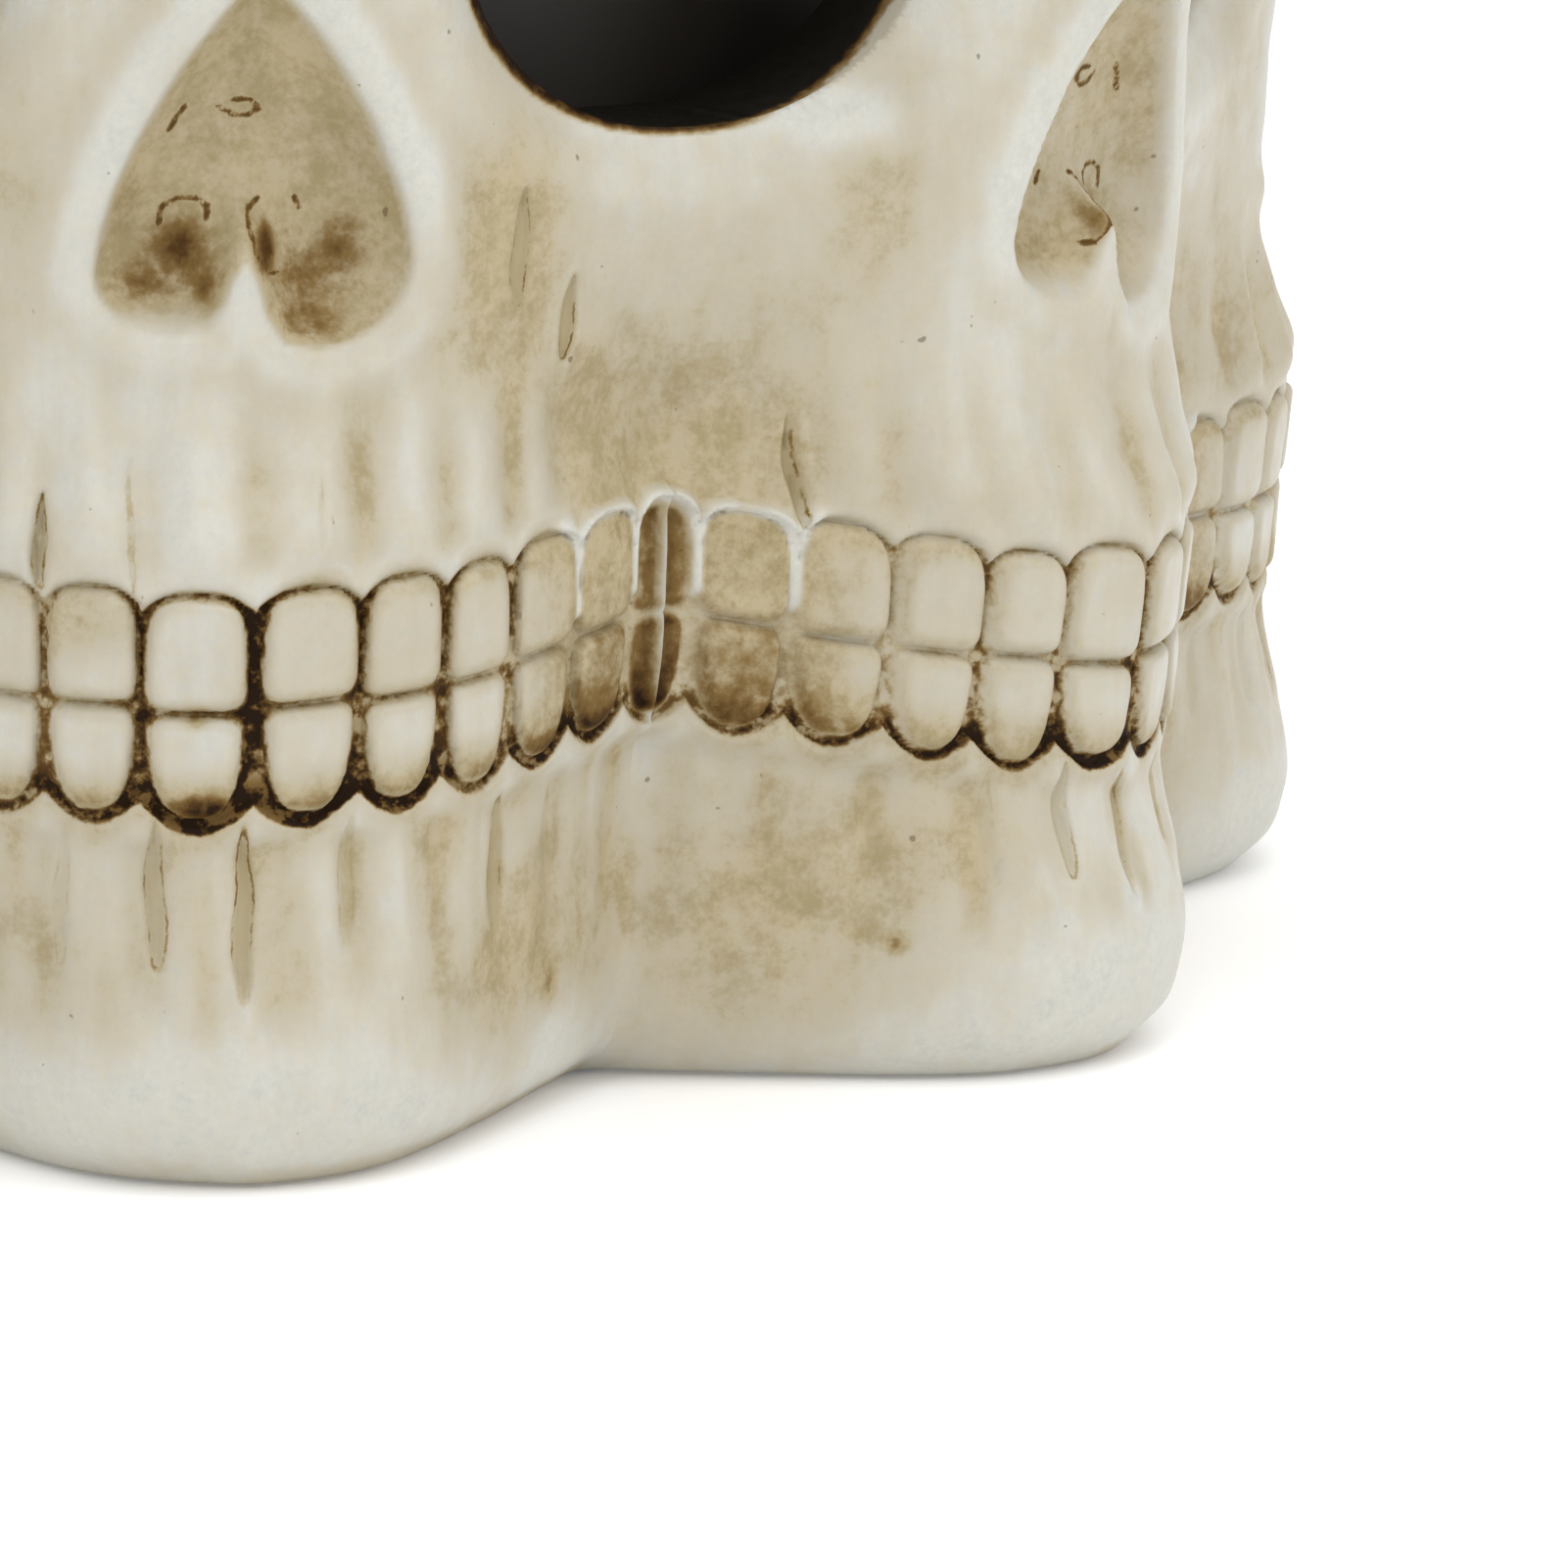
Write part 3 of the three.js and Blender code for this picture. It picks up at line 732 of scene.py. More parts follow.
def tan_wash_and_painted_light(f):
    """How much tan wash is left: most in hollows, on back teeth and in the nose, least on what stands out.
    Less tan also makes a painted highlight on the socket's lip and painted light low on the chin.
    """
    angle, z, side, number = f.angle, f.z, f.side, f.number
    tan = 0.3 + 0.12 * soft_noise(angle, z, 7, 14.0, 60, number)
    for strength, where, wide, up, tall in tan_zones:
        tan += strength * hump(side, where, wide) * hump(z, up, tall)
    tan += 0.4 * f.chin_zone * np.maximum(0, soft_noise(angle, z, 35, 13.0, 93, number))
    tan += 0.15 * f.lip_zone * np.maximum(0, soft_noise(angle, z, 27, 20.0, 94, number))
    tan += 0.35 * f.on_crown * ease(side, 10, 17)
    tan += 0.24 * f.on_crown * (1 - ease(np.maximum(f.upper, f.lower), 0.2, 1.3))
    tan += f.on_lower * (0.4 * ease(z, 33.0, 29.5) - 0.12 + 0.6 * (1 - f.lower_paint))
    tan += 0.45 * ease(side, 15, 18.5) * hump(z, gum_height + 2.5, 3.0)
    tan += 0.35 * f.on_upper * ease(z, 42.5, 45.2) * ease(side, 5, 14)
    tan += 0.22 * f.between_teeth * band(z, 46, 49, 54, 62) * (1 - ease(side, 14, 19))
    tan += 0.2 * f.between_teeth * band(z, 13, 20, 25, 27)
    tan += (f.upper_paint - 0.42) * ease(f.nose, 0.0, 0.7) * (1 - f.pale)
    tan += 0.3 * hump(f.bone, 0.8, 1.3) * ease(z, bite_height, bite_height - 4)
    tan -= 0.2 * hump(f.nose, -2.0, 2.0) * ease(z, 66, 76)
    # Painted highlight: less tan on the rounded lip of the socket, where its sheen falls.
    tan -= 0.12 * hump(f.socket, 3.0, 3.5)
    # Painted light: less tan low on the middle of the chin, against the shade under its rounded bottom.
    tan -= 0.25 * hump(z, 6, 7) * (1 - ease(side, 8, 14))
    tan -= 0.7 * f.raised
    tan += np.clip(0.55 * f.cavity, -0.12, 0.45) * (1 - f.on_crown) * (1 - f.pale)
    return tan + spots_on_face(f, brown_spots) + spots_on_face(f, tan_patches_and_painted_highlight)


def brown_wash(f):
    """How much brown is smudged in the nose, on the back and lower teeth and along the socket's edge."""
    z, side, bare = f.z, f.side, 1 - f.raised
    brown = 0.2 * f.in_nose * ease(f.nose, 0.5, 3)
    for where, up, wide, tall, strength in nose_smudges:
        brown = np.maximum(brown, f.in_nose * strength * hump(f.nose_across, where, wide) * hump(z, up, tall))
    brown += 0.26 * f.on_crown * ease(side, 11.5, 18) * bare
    brown += 0.25 * (1 - ease(f.solid, -0.2, 0.7)) * ease(side, 12, 16) * bare
    brown += 0.3 * f.on_crown * hump(f.joint, 0.5, 2.6) * bare
    brown += 0.08 * f.on_lower * ease(side, 10, 15)
    brown += 0.08 * f.on_lower * ease(z, 34, 29) * (1 + f.aside)
    brown += 0.3 * f.on_lower * ease(z, 31, 28.4) * f.lower_paint**4
    edge = 0.8 + 1.2 * (f.angle > 0) * f.out_along**2
    lined = np.where(f.angle > 0, 1, 1 - ease(f.out_along, 0.1, 0.45))
    brown = np.maximum(brown, lined * (1 - ease(f.socket_edge, edge - 1.1, edge)))
    return brown + 0.6 * spots_on_face(f, brown_spots)


def painted_points(mesh, number):
    """What the paint depends on at the points of a face that still looks along -Y."""
    x, y, height = (vertex_points(mesh) / mm).T
    angle = np.clip(np.arctan2(x, -y), -half_sector, half_sector)
    z = height
    for _ in range(12):
        z = height - climb(angle, z, number)
    z = np.clip(z, chin_bottom, rim_height)
    f = face_features(angle, z, number)
    f.angle, f.degrees, f.z, f.number = angle, np.degrees(angle), z, number
    f.upper_paint, f.lower_paint = upper_paint[number - 1], lower_paint[number - 1]
    f.aside = ease(f.side, 8.5, 14)
    f.raised = np.maximum(f.web, f.bead)
    f.on_upper, f.on_lower = ease(f.upper, -0.2, 0.5), ease(f.lower, -0.2, 0.5)
    f.on_crown = np.maximum(f.on_upper, f.on_lower)
    f.between_teeth = ease(f.share, 0.45, 1)
    pale_left = ease(z, 69.4, 66.2) * ease(f.across, 0, -3)
    f.pale = np.maximum(pale_left, 0.45 * hump(f.across, 11.8, 3.2) * hump(z, 68.5, 4.2))
    f.in_nose = ease(f.nose, 0.1, 1.0) * f.upper_paint**1.5 * (1 - 0.7 * f.pale)
    f.nose_across = f.across if number % 2 else -f.across
    f.reach = np.hypot(x, y)
    socket_across = f.reach * np.sin(half_sector - np.abs(angle))
    f.socket_edge = (socket_measure(socket_across, height) - 1) * socket_half_height
    f.out_along = np.clip(socket_across / socket_half_width, 0, 1)

    f.front = relief(angle, z, number)
    f.cavity = -f.front
    turn = cavity_reach / bite_radius
    around = [(turn, 0), (-turn, 0), (0, cavity_reach), (0, -cavity_reach)]
    for sideways, up in around:
        near = np.clip(angle + sideways, -half_sector, half_sector)
        f.cavity += relief(near, np.clip(z + up, chin_bottom, rim_height), number) / len(around)
    return f


def paint_face(mesh, number):
    """Writes where the paint lies as values on the points of a face."""
    f = painted_points(mesh, number)
    dark, f.solid = line_paint(f)
    mark = np.where(f.in_nose > 0.3, mark_distance(f.nose_across, f.z, nose_marks), far)
    front = f.reach > f.front - front_skin
    painted = {
        "solid": np.where(front, np.clip(f.solid, -2, far), far),
        "dark": np.where(front, np.clip(dark, 0, 1.35), 0),
        "tan": np.where(front, np.clip(tan_wash_and_painted_light(f), 0, 0.92), 0.2),
        "brown": np.where(front, np.clip(brown_wash(f), 0, 1), 0),
        "slit": np.where(front, np.clip(f.slit, -1, far), far),
        "slit_paint": np.clip(f.sharp * (0.35 + 0.65 * f.upper_paint), 0, 1),
        "wall_paint": f.front - f.reach - (0.2 + 4.4 * f.out_along**2.5),
        "mark": np.where(front, np.clip(mark, 0, far), far),
    }
    for name, values in painted.items():
        layer = mesh.attributes.new(name, "FLOAT", "POINT")
        layer.data.foreach_set("value", values.astype(np.float32))


wall_tolerance = 4e-4


def finish_face(mesh):
    """Socket walls get the black paint, and the edges of the cuts stay crisp."""
    points = vertex_points(mesh) / mm
    on_wall = np.zeros(len(points), bool)
    for side in (-1, 1):
        seam = side * half_sector
        across = points[:, 0] * math.cos(seam) + points[:, 1] * math.sin(seam)
        outward = points[:, 0] * math.sin(seam) - points[:, 1] * math.cos(seam)
        on_wall |= (np.abs(socket_measure(across, points[:, 2]) - 1) < wall_tolerance) & (outward > 0)
    corners = np.empty(len(mesh.loops), np.int32)
    mesh.loops.foreach_get("vertex_index", corners)
    starts = np.empty(len(mesh.polygons), np.int32)
    mesh.polygons.foreach_get("loop_start", starts)
    wall = np.logical_and.reduceat(on_wall[corners], starts)
    mesh.polygons.foreach_set("material_index", wall.astype(np.int32))
    shade(mesh, sharp_degrees=58)


class Finish:
    """A material in the making, with short ways to add the nodes that the finishes need."""

    def __init__(self, name):
        self.material = bpy.data.materials.new(name)
        self.material.use_nodes = True
        self.tree = self.material.node_tree

    def feed(self, node, inputs):
        """Links a node's inputs to other nodes, or sets them to plain values."""
        for key, value in inputs.items():
            if isinstance(value, bpy.types.NodeSocket):
                self.tree.links.new(value, node.inputs[key])
            else:
                node.inputs[key].default_value = value

    def node(self, kind, output, inputs, **settings):
        """One output of a new node."""
        node = self.tree.nodes.new("ShaderNode" + kind)
        for name, value in settings.items():
            setattr(node, name, value)
        self.feed(node, inputs)
        return node.outputs[output]

    def surface(self, inputs):
        """The material, with the inputs of its surface set."""
        self.feed(self.tree.nodes["Principled BSDF"], inputs)
        return self.material

    def math(self, operation, *values, clamp=False):
        return self.node("Math", 0, dict(enumerate(values)), operation=operation, use_clamp=clamp)

    def add(self, total, *others):
        for other in others:
            total = self.math("ADD", total, other)
        return total

    def times(self, first, second, clamp=False):
        return self.math("MULTIPLY", first, second, clamp=clamp)

    def centred(self, noise, amount):
        return self.times(self.add(noise, -0.5), amount)

    def ramp(self, value, low, high, to_low=0.0, to_high=1.0):
        """A smooth step from one value to another as the input goes from low to high."""
        inputs = {"Value": value, "From Min": low, "From Max": high, "To Min": to_low, "To Max": to_high}
        return self.node("MapRange", "Result", inputs, interpolation_type="SMOOTHSTEP")

    def mix(self, share, first, second):
        return self.node("Mix", 2, {"Factor": share, 6: first, 7: second}, data_type="RGBA")

    def coat(self, under, colour, amount, start, full, most=1.0):
        """A colour laid over another, from where an amount starts to where it is full."""
        return self.mix(self.ramp(amount, start, full, 0.0, most), under, colour)

    def noise(self, size_mm, detail, rough, stretch=(1, 1, 1), shift=0.0):
        """Noise on the piece's own coordinates, with features about size_mm across."""
        place = self.node("TexCoord", "Object", {})
        moved = {"Vector": place, "Scale": stretch, "Location": (shift, shift, shift)}
        grain = {"Scale": 1 / (size_mm * mm), "Detail": detail, "Roughness": rough}
        return self.node("TexNoise", "Fac", {"Vector": self.node("Mapping", "Vector", moved), **grain})

    def attribute(self, name):
        return self.node("Attribute", "Fac", {}, attribute_name=name)

    def bump(self, height, distance_mm, strength, under=None):
        inputs = {"Height": height, "Distance": distance_mm * mm, "Strength": strength}
        if under is not None:
            inputs["Normal"] = under
        return self.node("Bump", "Normal", inputs)


def srgb(red, green, blue):
    """A colour given as it looks on a screen, from 0 to 255."""
    parts = [value / 255 for value in (red, green, blue)]
    linear = [v / 12.92 if v <= 0.04045 else ((v + 0.055) / 1.055) ** 2.4 for v in parts]
    return (*linear, 1)


bone_white = srgb(194, 193, 184)
bone_cream = srgb(182, 175, 157)
wash_pale = srgb(180, 165, 132)
wash_tan = srgb(155, 141, 105)
wash_olive = srgb(146, 132, 96)
wash_ochre = srgb(122, 98, 58)
wash_brown = srgb(84, 60, 30)
wash_dark = srgb(36, 24, 13)
socket_black = srgb(23, 20, 14)


def bone_material():
    resin = Finish("bone_resin_washed")
    add, times, centred, ramp = resin.add, resin.times, resin.centred, resin.ramp
    fine = resin.noise(0.8, 5, 0.7)
    mottle = resin.noise(1.4, 2, 0.5, shift=8.4)
    middle = resin.noise(3.4, 5, 0.65, shift=3.1)
    large = resin.noise(7.0, 3, 0.5, shift=2.6)
    broad = resin.noise(16.0, 3, 0.5, shift=1.7)
    streak = resin.noise(2.2, 3, 0.6, stretch=(1, 1, 0.16), shift=5.3)
    speck = resin.noise(1.3, 1, 0.4, shift=9.2)

    tan = add(resin.attribute("tan"), centred(broad, 0.45), centred(streak, 0.28))
    tan = add(tan, centred(middle, 0.7), centred(fine, 0.4))
    thin = add(middle, centred(large, 0.6), centred(fine, 1.0))
    wash = resin.coat(wash_pale, wash_olive, thin, 0.2, 0.8)
    colour = resin.coat(bone_white, bone_cream, tan, 0.0, 0.42)
    colour = resin.coat(colour, wash, tan, 0.3, 1.0)

    slit_paint = resin.attribute("slit_paint")
    wobble = add(resin.attribute("slit"), centred(fine, 0.5), centred(middle, 0.4))
    in_slit = times(ramp(wobble, 0.35, -0.5), slit_paint)
    colour = resin.mix(times(in_slit, 0.65), colour, wash_tan)
    edge = resin.math("ABSOLUTE", add(wobble, 0.05))
    outline = times(ramp(edge, 0.17, 0.03), slit_paint)
    outline = times(outline, ramp(middle, 0.38, 0.62, 0.1, 0.5))

    wander = add(resin.attribute("solid"), centred(large, 0.7), centred(mottle, 0.9), centred(middle, 0.8))
    spread = add(middle, centred(mottle, 1.3), centred(fine, 0.9), centred(large, 0.8))
    lines = times(ramp(wander, 0.38, -0.3), resin.attribute("dark"))
    lines = times(lines, ramp(spread, 0.2, 0.7, 0.4, 1.15))

    uneven = add(centred(middle, 1.0), centred(mottle, 0.7), centred(fine, 0.7), 1.0)
    amount = times(resin.attribute("brown"), uneven, clamp=True)
    near_mark = add(resin.attribute("mark"), centred(fine, 0.6))
    for other in (lines, outline, ramp(near_mark, 0.46, 0.05, 0.0, 0.64)):
        amount = resin.math("MAXIMUM", amount, other)
    colour = resin.coat(colour, wash, amount, 0.02, 0.3, 0.9)
    colour = resin.coat(colour, wash_ochre, amount, 0.22, 0.5)
    colour = resin.coat(colour, wash_brown, amount, 0.4, 0.7)
    colour = resin.coat(colour, wash_dark, amount, 0.6, 0.95)
    colour = resin.coat(colour, wash_brown, speck, 0.79, 0.83, 0.6)

    brightness = add(centred(fine, 0.4), centred(middle, 0.3), 1.0)
    grain = resin.bump(fine, 0.12, 0.4)
    dents = resin.bump(middle, 0.3, 0.3, grain)
    return resin.surface({
        "Base Color": resin.node("HueSaturation", "Color", {"Value": brightness, "Color": colour}),
        "Roughness": ramp(add(middle, centred(fine, 0.4)), 0.25, 0.8, 0.34, 0.5),
        "Specular IOR Level": ramp(amount, 0.0, 0.5, 0.4, 0.04),
        "Normal": resin.bump(streak, 0.16, 0.3, dents),
    })


def socket_paint():
    paint = Finish("socket_black_paint")
    brush = paint.noise(1.6, 3, 0.6)
    depth = paint.add(paint.attribute("wall_paint"), paint.centred(brush, 2.4))
    colour = paint.coat(bone_cream, wash_ochre, depth, -1.6, -0.4)
    colour = paint.coat(colour, wash_brown, depth, -0.6, 0.3)
    colour = paint.coat(colour, socket_black, depth, 0.0, 0.9)
    return paint.surface({
        "Base Color": colour,
        "Roughness": paint.ramp(brush, 0.3, 0.7, 0.45, 0.6),
        "Specular IOR Level": 0.2,
        "Normal": paint.bump(brush, 0.12, 0.4),
    })


bone = bone_material()
black_paint = socket_paint()
for number in range(1, face_count + 1):
    mesh = cut(face_block(number), face_cutters)
    mesh.materials.clear()
    mesh.materials.append(bone)
    mesh.materials.append(black_paint)
    paint_face(mesh, number)
    finish_face(mesh)
    mesh.transform(Matrix.Rotation(2 * half_sector * (number - 1), 4, "Z"))
    mesh.name = f"bone_face_{number}"
    casting = new_object(f"bone_face_{number}", mesh)
    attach(casting, "ring")
    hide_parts(f"skull_face_{number}")
for cutter in face_cutters:
    bpy.data.objects.remove(cutter)

# Base plate. A round plate of dark grey plastic, moulded with a soft rim and a fine grain, that closes the
# ring from below. It lies against the ledge of the faces, with a hole for each screw.
plate_low, plate_high = (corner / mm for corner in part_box("base_plate"))
plate_edge = 0.6
plate_hole_sides = 32


def turned(profile, sides, name):
    """A profile of radius and height in mm, turned about the axis into a closed mesh."""
    shape = bmesh.new()
    rings = []
    for radius, height in profile:
        rings.append(add_ring(shape, circle(radius, sides) if radius else [(0, 0)], height))
    for lower, upper in zip(rings, rings[1:]):
        join_rings(shape, lower, upper)
    return closed_mesh(shape, name)


def grey_plastic():
    plastic = Finish("grey_grained_plastic")
    grain = plastic.noise(0.7, 3, 0.6)
    cloud = plastic.noise(18.0, 2, 0.5, shift=2.3)
    return plastic.surface({
        "Base Color": plastic.mix(cloud, srgb(56, 54, 52), srgb(66, 64, 61)),
        "Roughness": plastic.ramp(grain, 0.3, 0.7, 0.52, 0.66),
        "Normal": plastic.bump(grain, 0.05, 0.35),
    })


plate_radius = plate_high.x
plate_mesh = turned([
    (0, plate_low.z),
    (plate_radius - plate_edge, plate_low.z),
    (plate_radius - 0.3 * plate_edge, plate_low.z + 0.3 * plate_edge),
    (plate_radius, plate_low.z + plate_edge),
    (plate_radius, plate_high.z - plate_edge),
    (plate_radius - 0.3 * plate_edge, plate_high.z - 0.3 * plate_edge),
    (plate_radius - plate_edge, plate_high.z),
    (0, plate_high.z),
], ring_sides, "plate")
plate_cutters = []
for x, y in circle(screw_radius, face_count):
    hole = circle(screw_hole_radius, plate_hole_sides, x, y)
    plate_cutters.append(prism(hole, plate_low.z - 1, plate_high.z + 1, "hole_cutter"))
plate_mesh = cut(plate_mesh, plate_cutters)
for cutter in plate_cutters:
    bpy.data.objects.remove(cutter)
shade(plate_mesh, sharp_degrees=35)
plate_mesh.materials.clear()
plate_mesh.materials.append(grey_plastic())
plate = new_object("ring_base_plate", plate_mesh)
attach(plate, "ring")
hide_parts("base_plate")

# Base screws. Zinc-plated pan-head screws with a cross recess, one driven up into the ledge of each face.
# They are set on a ring of points, each turned as the driver left it.
screw_low, screw_high = (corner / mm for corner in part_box("base_screw_1"))
screw_head_radius = screw_high.x
screw_shank_radius = 1.7
screw_head_height = 2.2
screw_core_radius = 1.35
screw_thread_pitch = 1.2
screw_point = 1.7
screw_sides = 40
blade_long, blade_wide, blade_deep = 2.0, 0.42, 1.3


def screw_mesh():
    """A screw on its own axis, head down, with a turned thread and a cross recess."""
    bottom, tip = screw_low.z, screw_high.z
    head_top = bottom + screw_head_height
    profile = [(0, bottom), (0.55 * screw_head_radius, bottom + 0.05)]
    for step in range(1, 7):
        turn = step / 6 * math.pi / 2
        profile.append((
            screw_head_radius * (0.55 + 0.45 * math.sin(turn)),
            bottom + 0.05 + 0.55 * screw_head_height * (1 - math.cos(turn)),
        ))
    profile += [(screw_head_radius, head_top), (screw_core_radius, head_top)]
    height = head_top + 0.4
    while height < tip - screw_point - 0.5:
        profile.append((screw_core_radius, height))
        profile.append((screw_shank_radius, height + 0.35 * screw_thread_pitch))
        profile.append((screw_core_radius, height + 0.7 * screw_thread_pitch))
        height += screw_thread_pitch
    profile += [(screw_core_radius, tip - screw_point), (0, tip)]
    mesh = turned(profile, screw_sides, "screw")
    cross = []
    for along, over in ((blade_long, blade_wide), (blade_wide, blade_long)):
        outline = [(-along, -over), (along, -over), (along, over), (-along, over)]
        cross.append(prism(outline, bottom - 1, bottom + blade_deep, "recess_cutter"))
    result = cut(mesh, cross)
    for cutter in cross:
        bpy.data.objects.remove(cutter)
    shade(result, sharp_degrees=32)
    return result


def ring_of_copies(name, mesh, ring_radius, turn_range, seed, material):
    """One mesh of the piece repeated at every face, made by geometry nodes."""
    pattern = new_object(name + "_pattern", mesh)
    tree = bpy.data.node_groups.new(name + "_ring", "GeometryNodeTree")
    new_socket = tree.interface.new_socket
    new_socket("Geometry", in_out="INPUT", socket_type="NodeSocketGeometry")
    new_socket("Geometry", in_out="OUTPUT", socket_type="NodeSocketGeometry")
    settings = {}
    for label, kind, value in [
        ("Piece", "Object", pattern),
        ("Count", "Int", face_count),
        ("Ring radius", "Float", ring_radius * mm),
        ("Turn", "Float", turn_range),
        ("Seed", "Int", seed),
        ("Finish", "Material", material),
    ]:
        socket = new_socket(label, in_out="INPUT", socket_type="NodeSocket" + kind)
        settings[socket.identifier] = value
    given = tree.nodes.new("NodeGroupInput")
    result = tree.nodes.new("NodeGroupOutput")
    ring = tree.nodes.new("GeometryNodeMeshCircle")
    piece = tree.nodes.new("GeometryNodeObjectInfo")
    turn = tree.nodes.new("FunctionNodeRandomValue")
    turn.data_type = "FLOAT"
    spin = tree.nodes.new("ShaderNodeCombineXYZ")
    place = tree.nodes.new("GeometryNodeInstanceOnPoints")
    real = tree.nodes.new("GeometryNodeRealizeInstances")
    finish = tree.nodes.new("GeometryNodeSetMaterial")
    for start, output, end, entry in [
        (given, "Count", ring, "Vertices"),
        (given, "Ring radius", ring, "Radius"),
        (given, "Piece", piece, "Object"),
        (given, "Turn", turn, 3),
        (given, "Seed", turn, "Seed"),
        (turn, 1, spin, "Z"),
        (ring, "Mesh", place, "Points"),
        (piece, "Geometry", place, "Instance"),
        (spin, "Vector", place, "Rotation"),
        (place, "Instances", real, "Geometry"),
        (real, "Geometry", finish, "Geometry"),
        (given, "Finish", finish, "Material"),
        (finish, "Geometry", result, "Geometry"),
    ]:
        tree.links.new(start.outputs[output], end.inputs[entry])

    holder = new_object(name, bpy.data.meshes.new(name))
    modifier = holder.modifiers.new("ring", "NODES")
    modifier.node_group = tree
    for identifier, value in settings.items():
        modifier[identifier] = value
    graph = bpy.context.evaluated_depsgraph_get()
    made = bpy.data.meshes.new_from_object(holder.evaluated_get(graph))
    holder.modifiers.clear()
    holder.data = made
    bpy.data.objects.remove(pattern)
    bpy.data.node_groups.remove(tree)
    return holder


def zinc_plate():
    zinc = Finish("zinc_plated_steel")
    fine = zinc.noise(0.5, 3, 0.6)
    cloud = zinc.noise(2.5, 2, 0.5, shift=4.4)
    return zinc.surface({
        "Base Color": zinc.mix(cloud, srgb(176, 173, 165), srgb(205, 202, 194)),
        "Metallic": 1.0,
        "Roughness": zinc.ramp(fine, 0.3, 0.7, 0.28, 0.42),
        "Normal": zinc.bump(fine, 0.02, 0.3),
    })


screws = ring_of_copies("plate_screws", screw_mesh(), screw_radius, math.pi / 2, 3, zinc_plate())
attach(screws, "ring")
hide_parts(*[f"base_screw_{number}" for number in range(1, face_count + 1)])

# Felt feet. Punched discs of dark brown felt, glued into a shallow seat under each chin so that the resin
# doesn't scratch a table. Their edges are cut square and a little furry.
foot_low, foot_high = (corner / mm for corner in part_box("felt_foot_1"))
foot_disc_radius = foot_high.x
felt_edge = 0.25
felt_bulge = 0.08
felt_fray = 0.006
felt_sides = 72


def felt_disc():
    """A disc on its own axis, with a soft edge and an uneven outline."""
    profile = [(0, foot_low.z)]
    profile += [(foot_disc_radius * share, foot_low.z) for share in (0.3, 0.6, 0.85)]
    profile += [
        (foot_disc_radius - felt_edge, foot_low.z),
        (foot_disc_radius - felt_bulge, foot_low.z + felt_edge),
        (foot_disc_radius, foot_high.z / 2),
        (foot_disc_radius - felt_bulge, foot_high.z - felt_edge),
        (foot_disc_radius - felt_edge, foot_high.z),
        (0, foot_high.z),
    ]
    mesh = turned(profile, felt_sides, "felt")
    points = vertex_points(mesh)
    draw = np.random.default_rng(11)
    reach = np.hypot(points[:, 0], points[:, 1]) / (foot_disc_radius * mm)
    points[:, :2] *= (1 - felt_fray * draw.random(len(points)) * ease(reach, 0.9, 1.0))[:, None]
    mesh.vertices.foreach_set("co", points.astype(np.float32).ravel())
    shade(mesh, sharp_degrees=60)
    return mesh


def brown_felt():
    felt = Finish("brown_felt_fibre")
    fibre = felt.noise(0.35, 5, 0.7)
    tuft = felt.noise(1.8, 3, 0.6, shift=6.1)
    return felt.surface({
        "Base Color": felt.mix(fibre, srgb(46, 34, 25), srgb(88, 69, 52)),
        "Roughness": 0.95,
        "Sheen Weight": 0.4,
        "Normal": felt.bump(fibre, 0.15, 0.7, felt.bump(tuft, 0.3, 0.4)),
    })


feet = ring_of_copies("felt_chin_feet", felt_disc(), foot_radius, math.pi, 5, brown_felt())
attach(feet, "ring")
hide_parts(*[f"felt_foot_{number}" for number in range(1, face_count + 1)])

# Liner. A tub in satin black plastic that hangs in the ring by its flat lip and lifts out to be emptied.
# Its wall tapers to the floor, and it is what shows black behind the sockets.
liner_low, liner_high = (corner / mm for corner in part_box("black_liner"))
liner_wall = 2.0
liner_lip_thickness = 3.0
liner_floor_radius = 74.8
liner_top_radius = 80.8
floor_corner = 4.0


def arc(centre_radius, centre_height, radius, start, end, steps=7):
    turns = np.radians(np.linspace(start, end, steps))
    return [(centre_radius + radius * math.cos(t), centre_height + radius * math.sin(t)) for t in turns]


def liner_profile():
    floor, top = liner_low.z, liner_high.z
    lip_bottom = top - liner_lip_thickness
    lip = liner_high.x
    lip_round = 0.45 * liner_lip_thickness
    inner_corner = floor_corner - liner_wall
    wall_heights = np.linspace(floor + floor_corner, lip_bottom, 24)[1:-1]
    slope = (liner_top_radius - liner_floor_radius) / (lip_bottom - floor - floor_corner)
    outer = [(liner_floor_radius + slope * (z - floor - floor_corner), z) for z in wall_heights]
    inner = [(radius - liner_wall, z) for radius, z in outer[::-1]]
    profile = [(0, floor), (0.5 * liner_floor_radius, floor)]
    profile += arc(liner_floor_radius - floor_corner, floor + floor_corner, floor_corner, -90, 0)
    profile += outer
    profile += [(liner_top_radius, lip_bottom - 0.6), (liner_top_radius + 0.6, lip_bottom)]
    profile += arc(lip - lip_round, lip_bottom + lip_round, lip_round, -90, 0, 6)
    profile += arc(lip - lip_round, top - lip_round, lip_round, 0, 90, 6)
    inner_top = liner_top_radius - liner_wall
    profile += arc(inner_top + lip_round, top - lip_round, lip_round, 90, 180, 6)
    profile += inner
    inner_floor = liner_floor_radius - liner_wall
    profile += arc(inner_floor - inner_corner, floor + liner_wall + inner_corner, inner_corner, 0, -90)
    profile += [(0.5 * inner_floor, floor + liner_wall), (0, floor + liner_wall)]
    return profile


def satin_black():
    plastic = Finish("satin_black_plastic")
    peel = plastic.noise(1.4, 2, 0.5)
    haze = plastic.noise(22.0, 3, 0.6, shift=7.7)
    return plastic.surface({
        "Base Color": plastic.mix(haze, srgb(36, 32, 28), srgb(48, 42, 35)),
        "Roughness": plastic.ramp(haze, 0.3, 0.7, 0.48, 0.62),
        "Normal": plastic.bump(peel, 0.03, 0.3),
    })


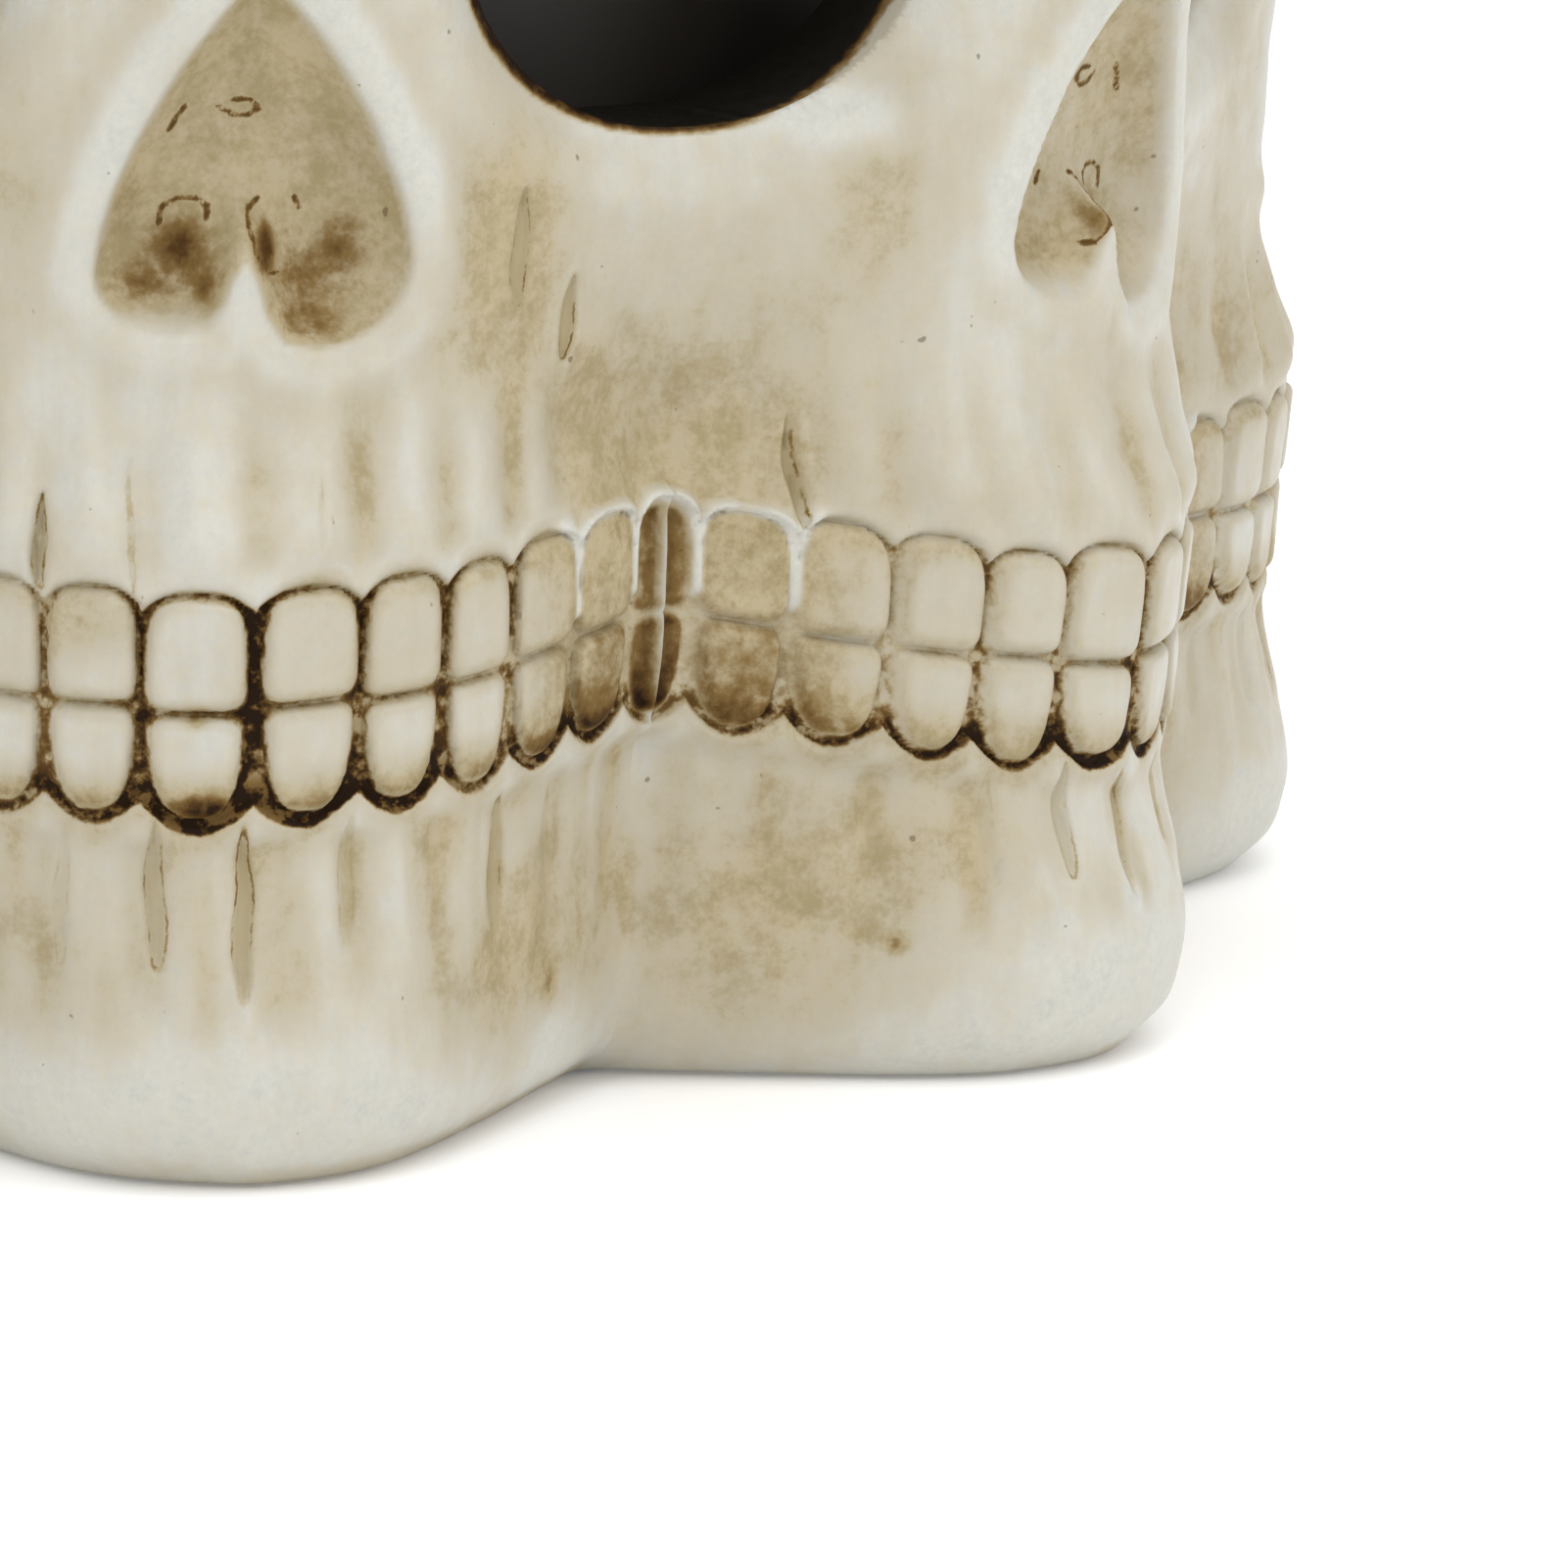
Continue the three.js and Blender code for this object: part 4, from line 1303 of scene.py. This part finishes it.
liner_mesh = turned(liner_profile(), ring_sides, "liner")
shade(liner_mesh, sharp_degrees=35)
liner_mesh.materials.append(satin_black())
liner = new_object("lift_out_liner", liner_mesh)
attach(liner, "liner")
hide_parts("black_liner")

# Studio. A pale floor that glows faintly, soft light from all round with a large box overhead and two small
# ones in front, and a long lens at the height of the rim, turned towards the right of the first face.
floor_half = 6.0
floor_mesh = bpy.data.meshes.new("studio_floor")
floor_corners = [(x * floor_half, y * floor_half, 0) for x, y in ((-1, -1), (1, -1), (1, 1), (-1, 1))]
floor_mesh.from_pydata(floor_corners, [], [(0, 1, 2, 3)])
floor_mesh.materials.append(Finish("pale_floor").surface({
    "Base Color": (0.96, 0.96, 0.96, 1),
    "Roughness": 0.9,
    "Emission Color": (1, 1, 1, 1),
    "Emission Strength": 0.1,
}))
studio_floor = new_object("studio_floor", floor_mesh)

world = bpy.data.worlds.new("soft_white")
world.use_nodes = True
scene.world = world
backdrop = world.node_tree.nodes["Background"]
backdrop.inputs["Color"].default_value = (1.0, 1.0, 1.0, 1)
backdrop.inputs["Strength"].default_value = 0.76


def soft_box(name, place, aim, size, power):
    """A rectangular light that points at a place."""
    light = bpy.data.lights.new(name, "AREA")
    light.shape = "RECTANGLE"
    light.size, light.size_y = size
    light.energy = power
    lamp = new_object(name, light)
    lamp.location = place
    lamp.rotation_euler = (Vector(aim) - Vector(place)).to_track_quat("-Z", "Y").to_euler()


bowl_middle = (0, 0, 0.07)
soft_box("top_box", (0.1, -0.2, 1.5), bowl_middle, (1.8, 1.8), 12)
soft_box("key_box", (-0.5, -1.1, 1.2), bowl_middle, (0.8, 0.8), 5.5)
soft_box("fill_box", (1.2, -0.7, 0.9), bowl_middle, (0.8, 0.8), 4.0)

camera_distance = 0.6659
camera_height = 0.1559
camera_turn = math.radians(-6.2)
camera_yaw = math.radians(5.44)
camera_pitch = math.radians(12.4)
camera_roll = math.radians(1.3)
photo_pixels = 1601
focal_pixels = 7528.0
sensor_width = 36.0
lens = bpy.data.cameras.new("camera")
lens.sensor_width = sensor_width
lens.lens = sensor_width * focal_pixels / photo_pixels
lens.clip_start, lens.clip_end = 0.05, 50.0
camera = new_object("camera", lens)
level = Matrix.Rotation(camera_turn - camera_yaw, 4, "Z")
facing = level @ Matrix.Rotation(math.pi / 2 - camera_pitch, 4, "X")
standpoint = Matrix.Rotation(camera_turn, 4, "Z") @ Vector((0, -camera_distance, camera_height))
camera.matrix_world = Matrix.Translation(standpoint) @ facing @ Matrix.Rotation(camera_roll, 4, "Z")
scene.camera = camera
scene.view_settings.view_transform = "Standard"
scene.view_settings.look = "None"
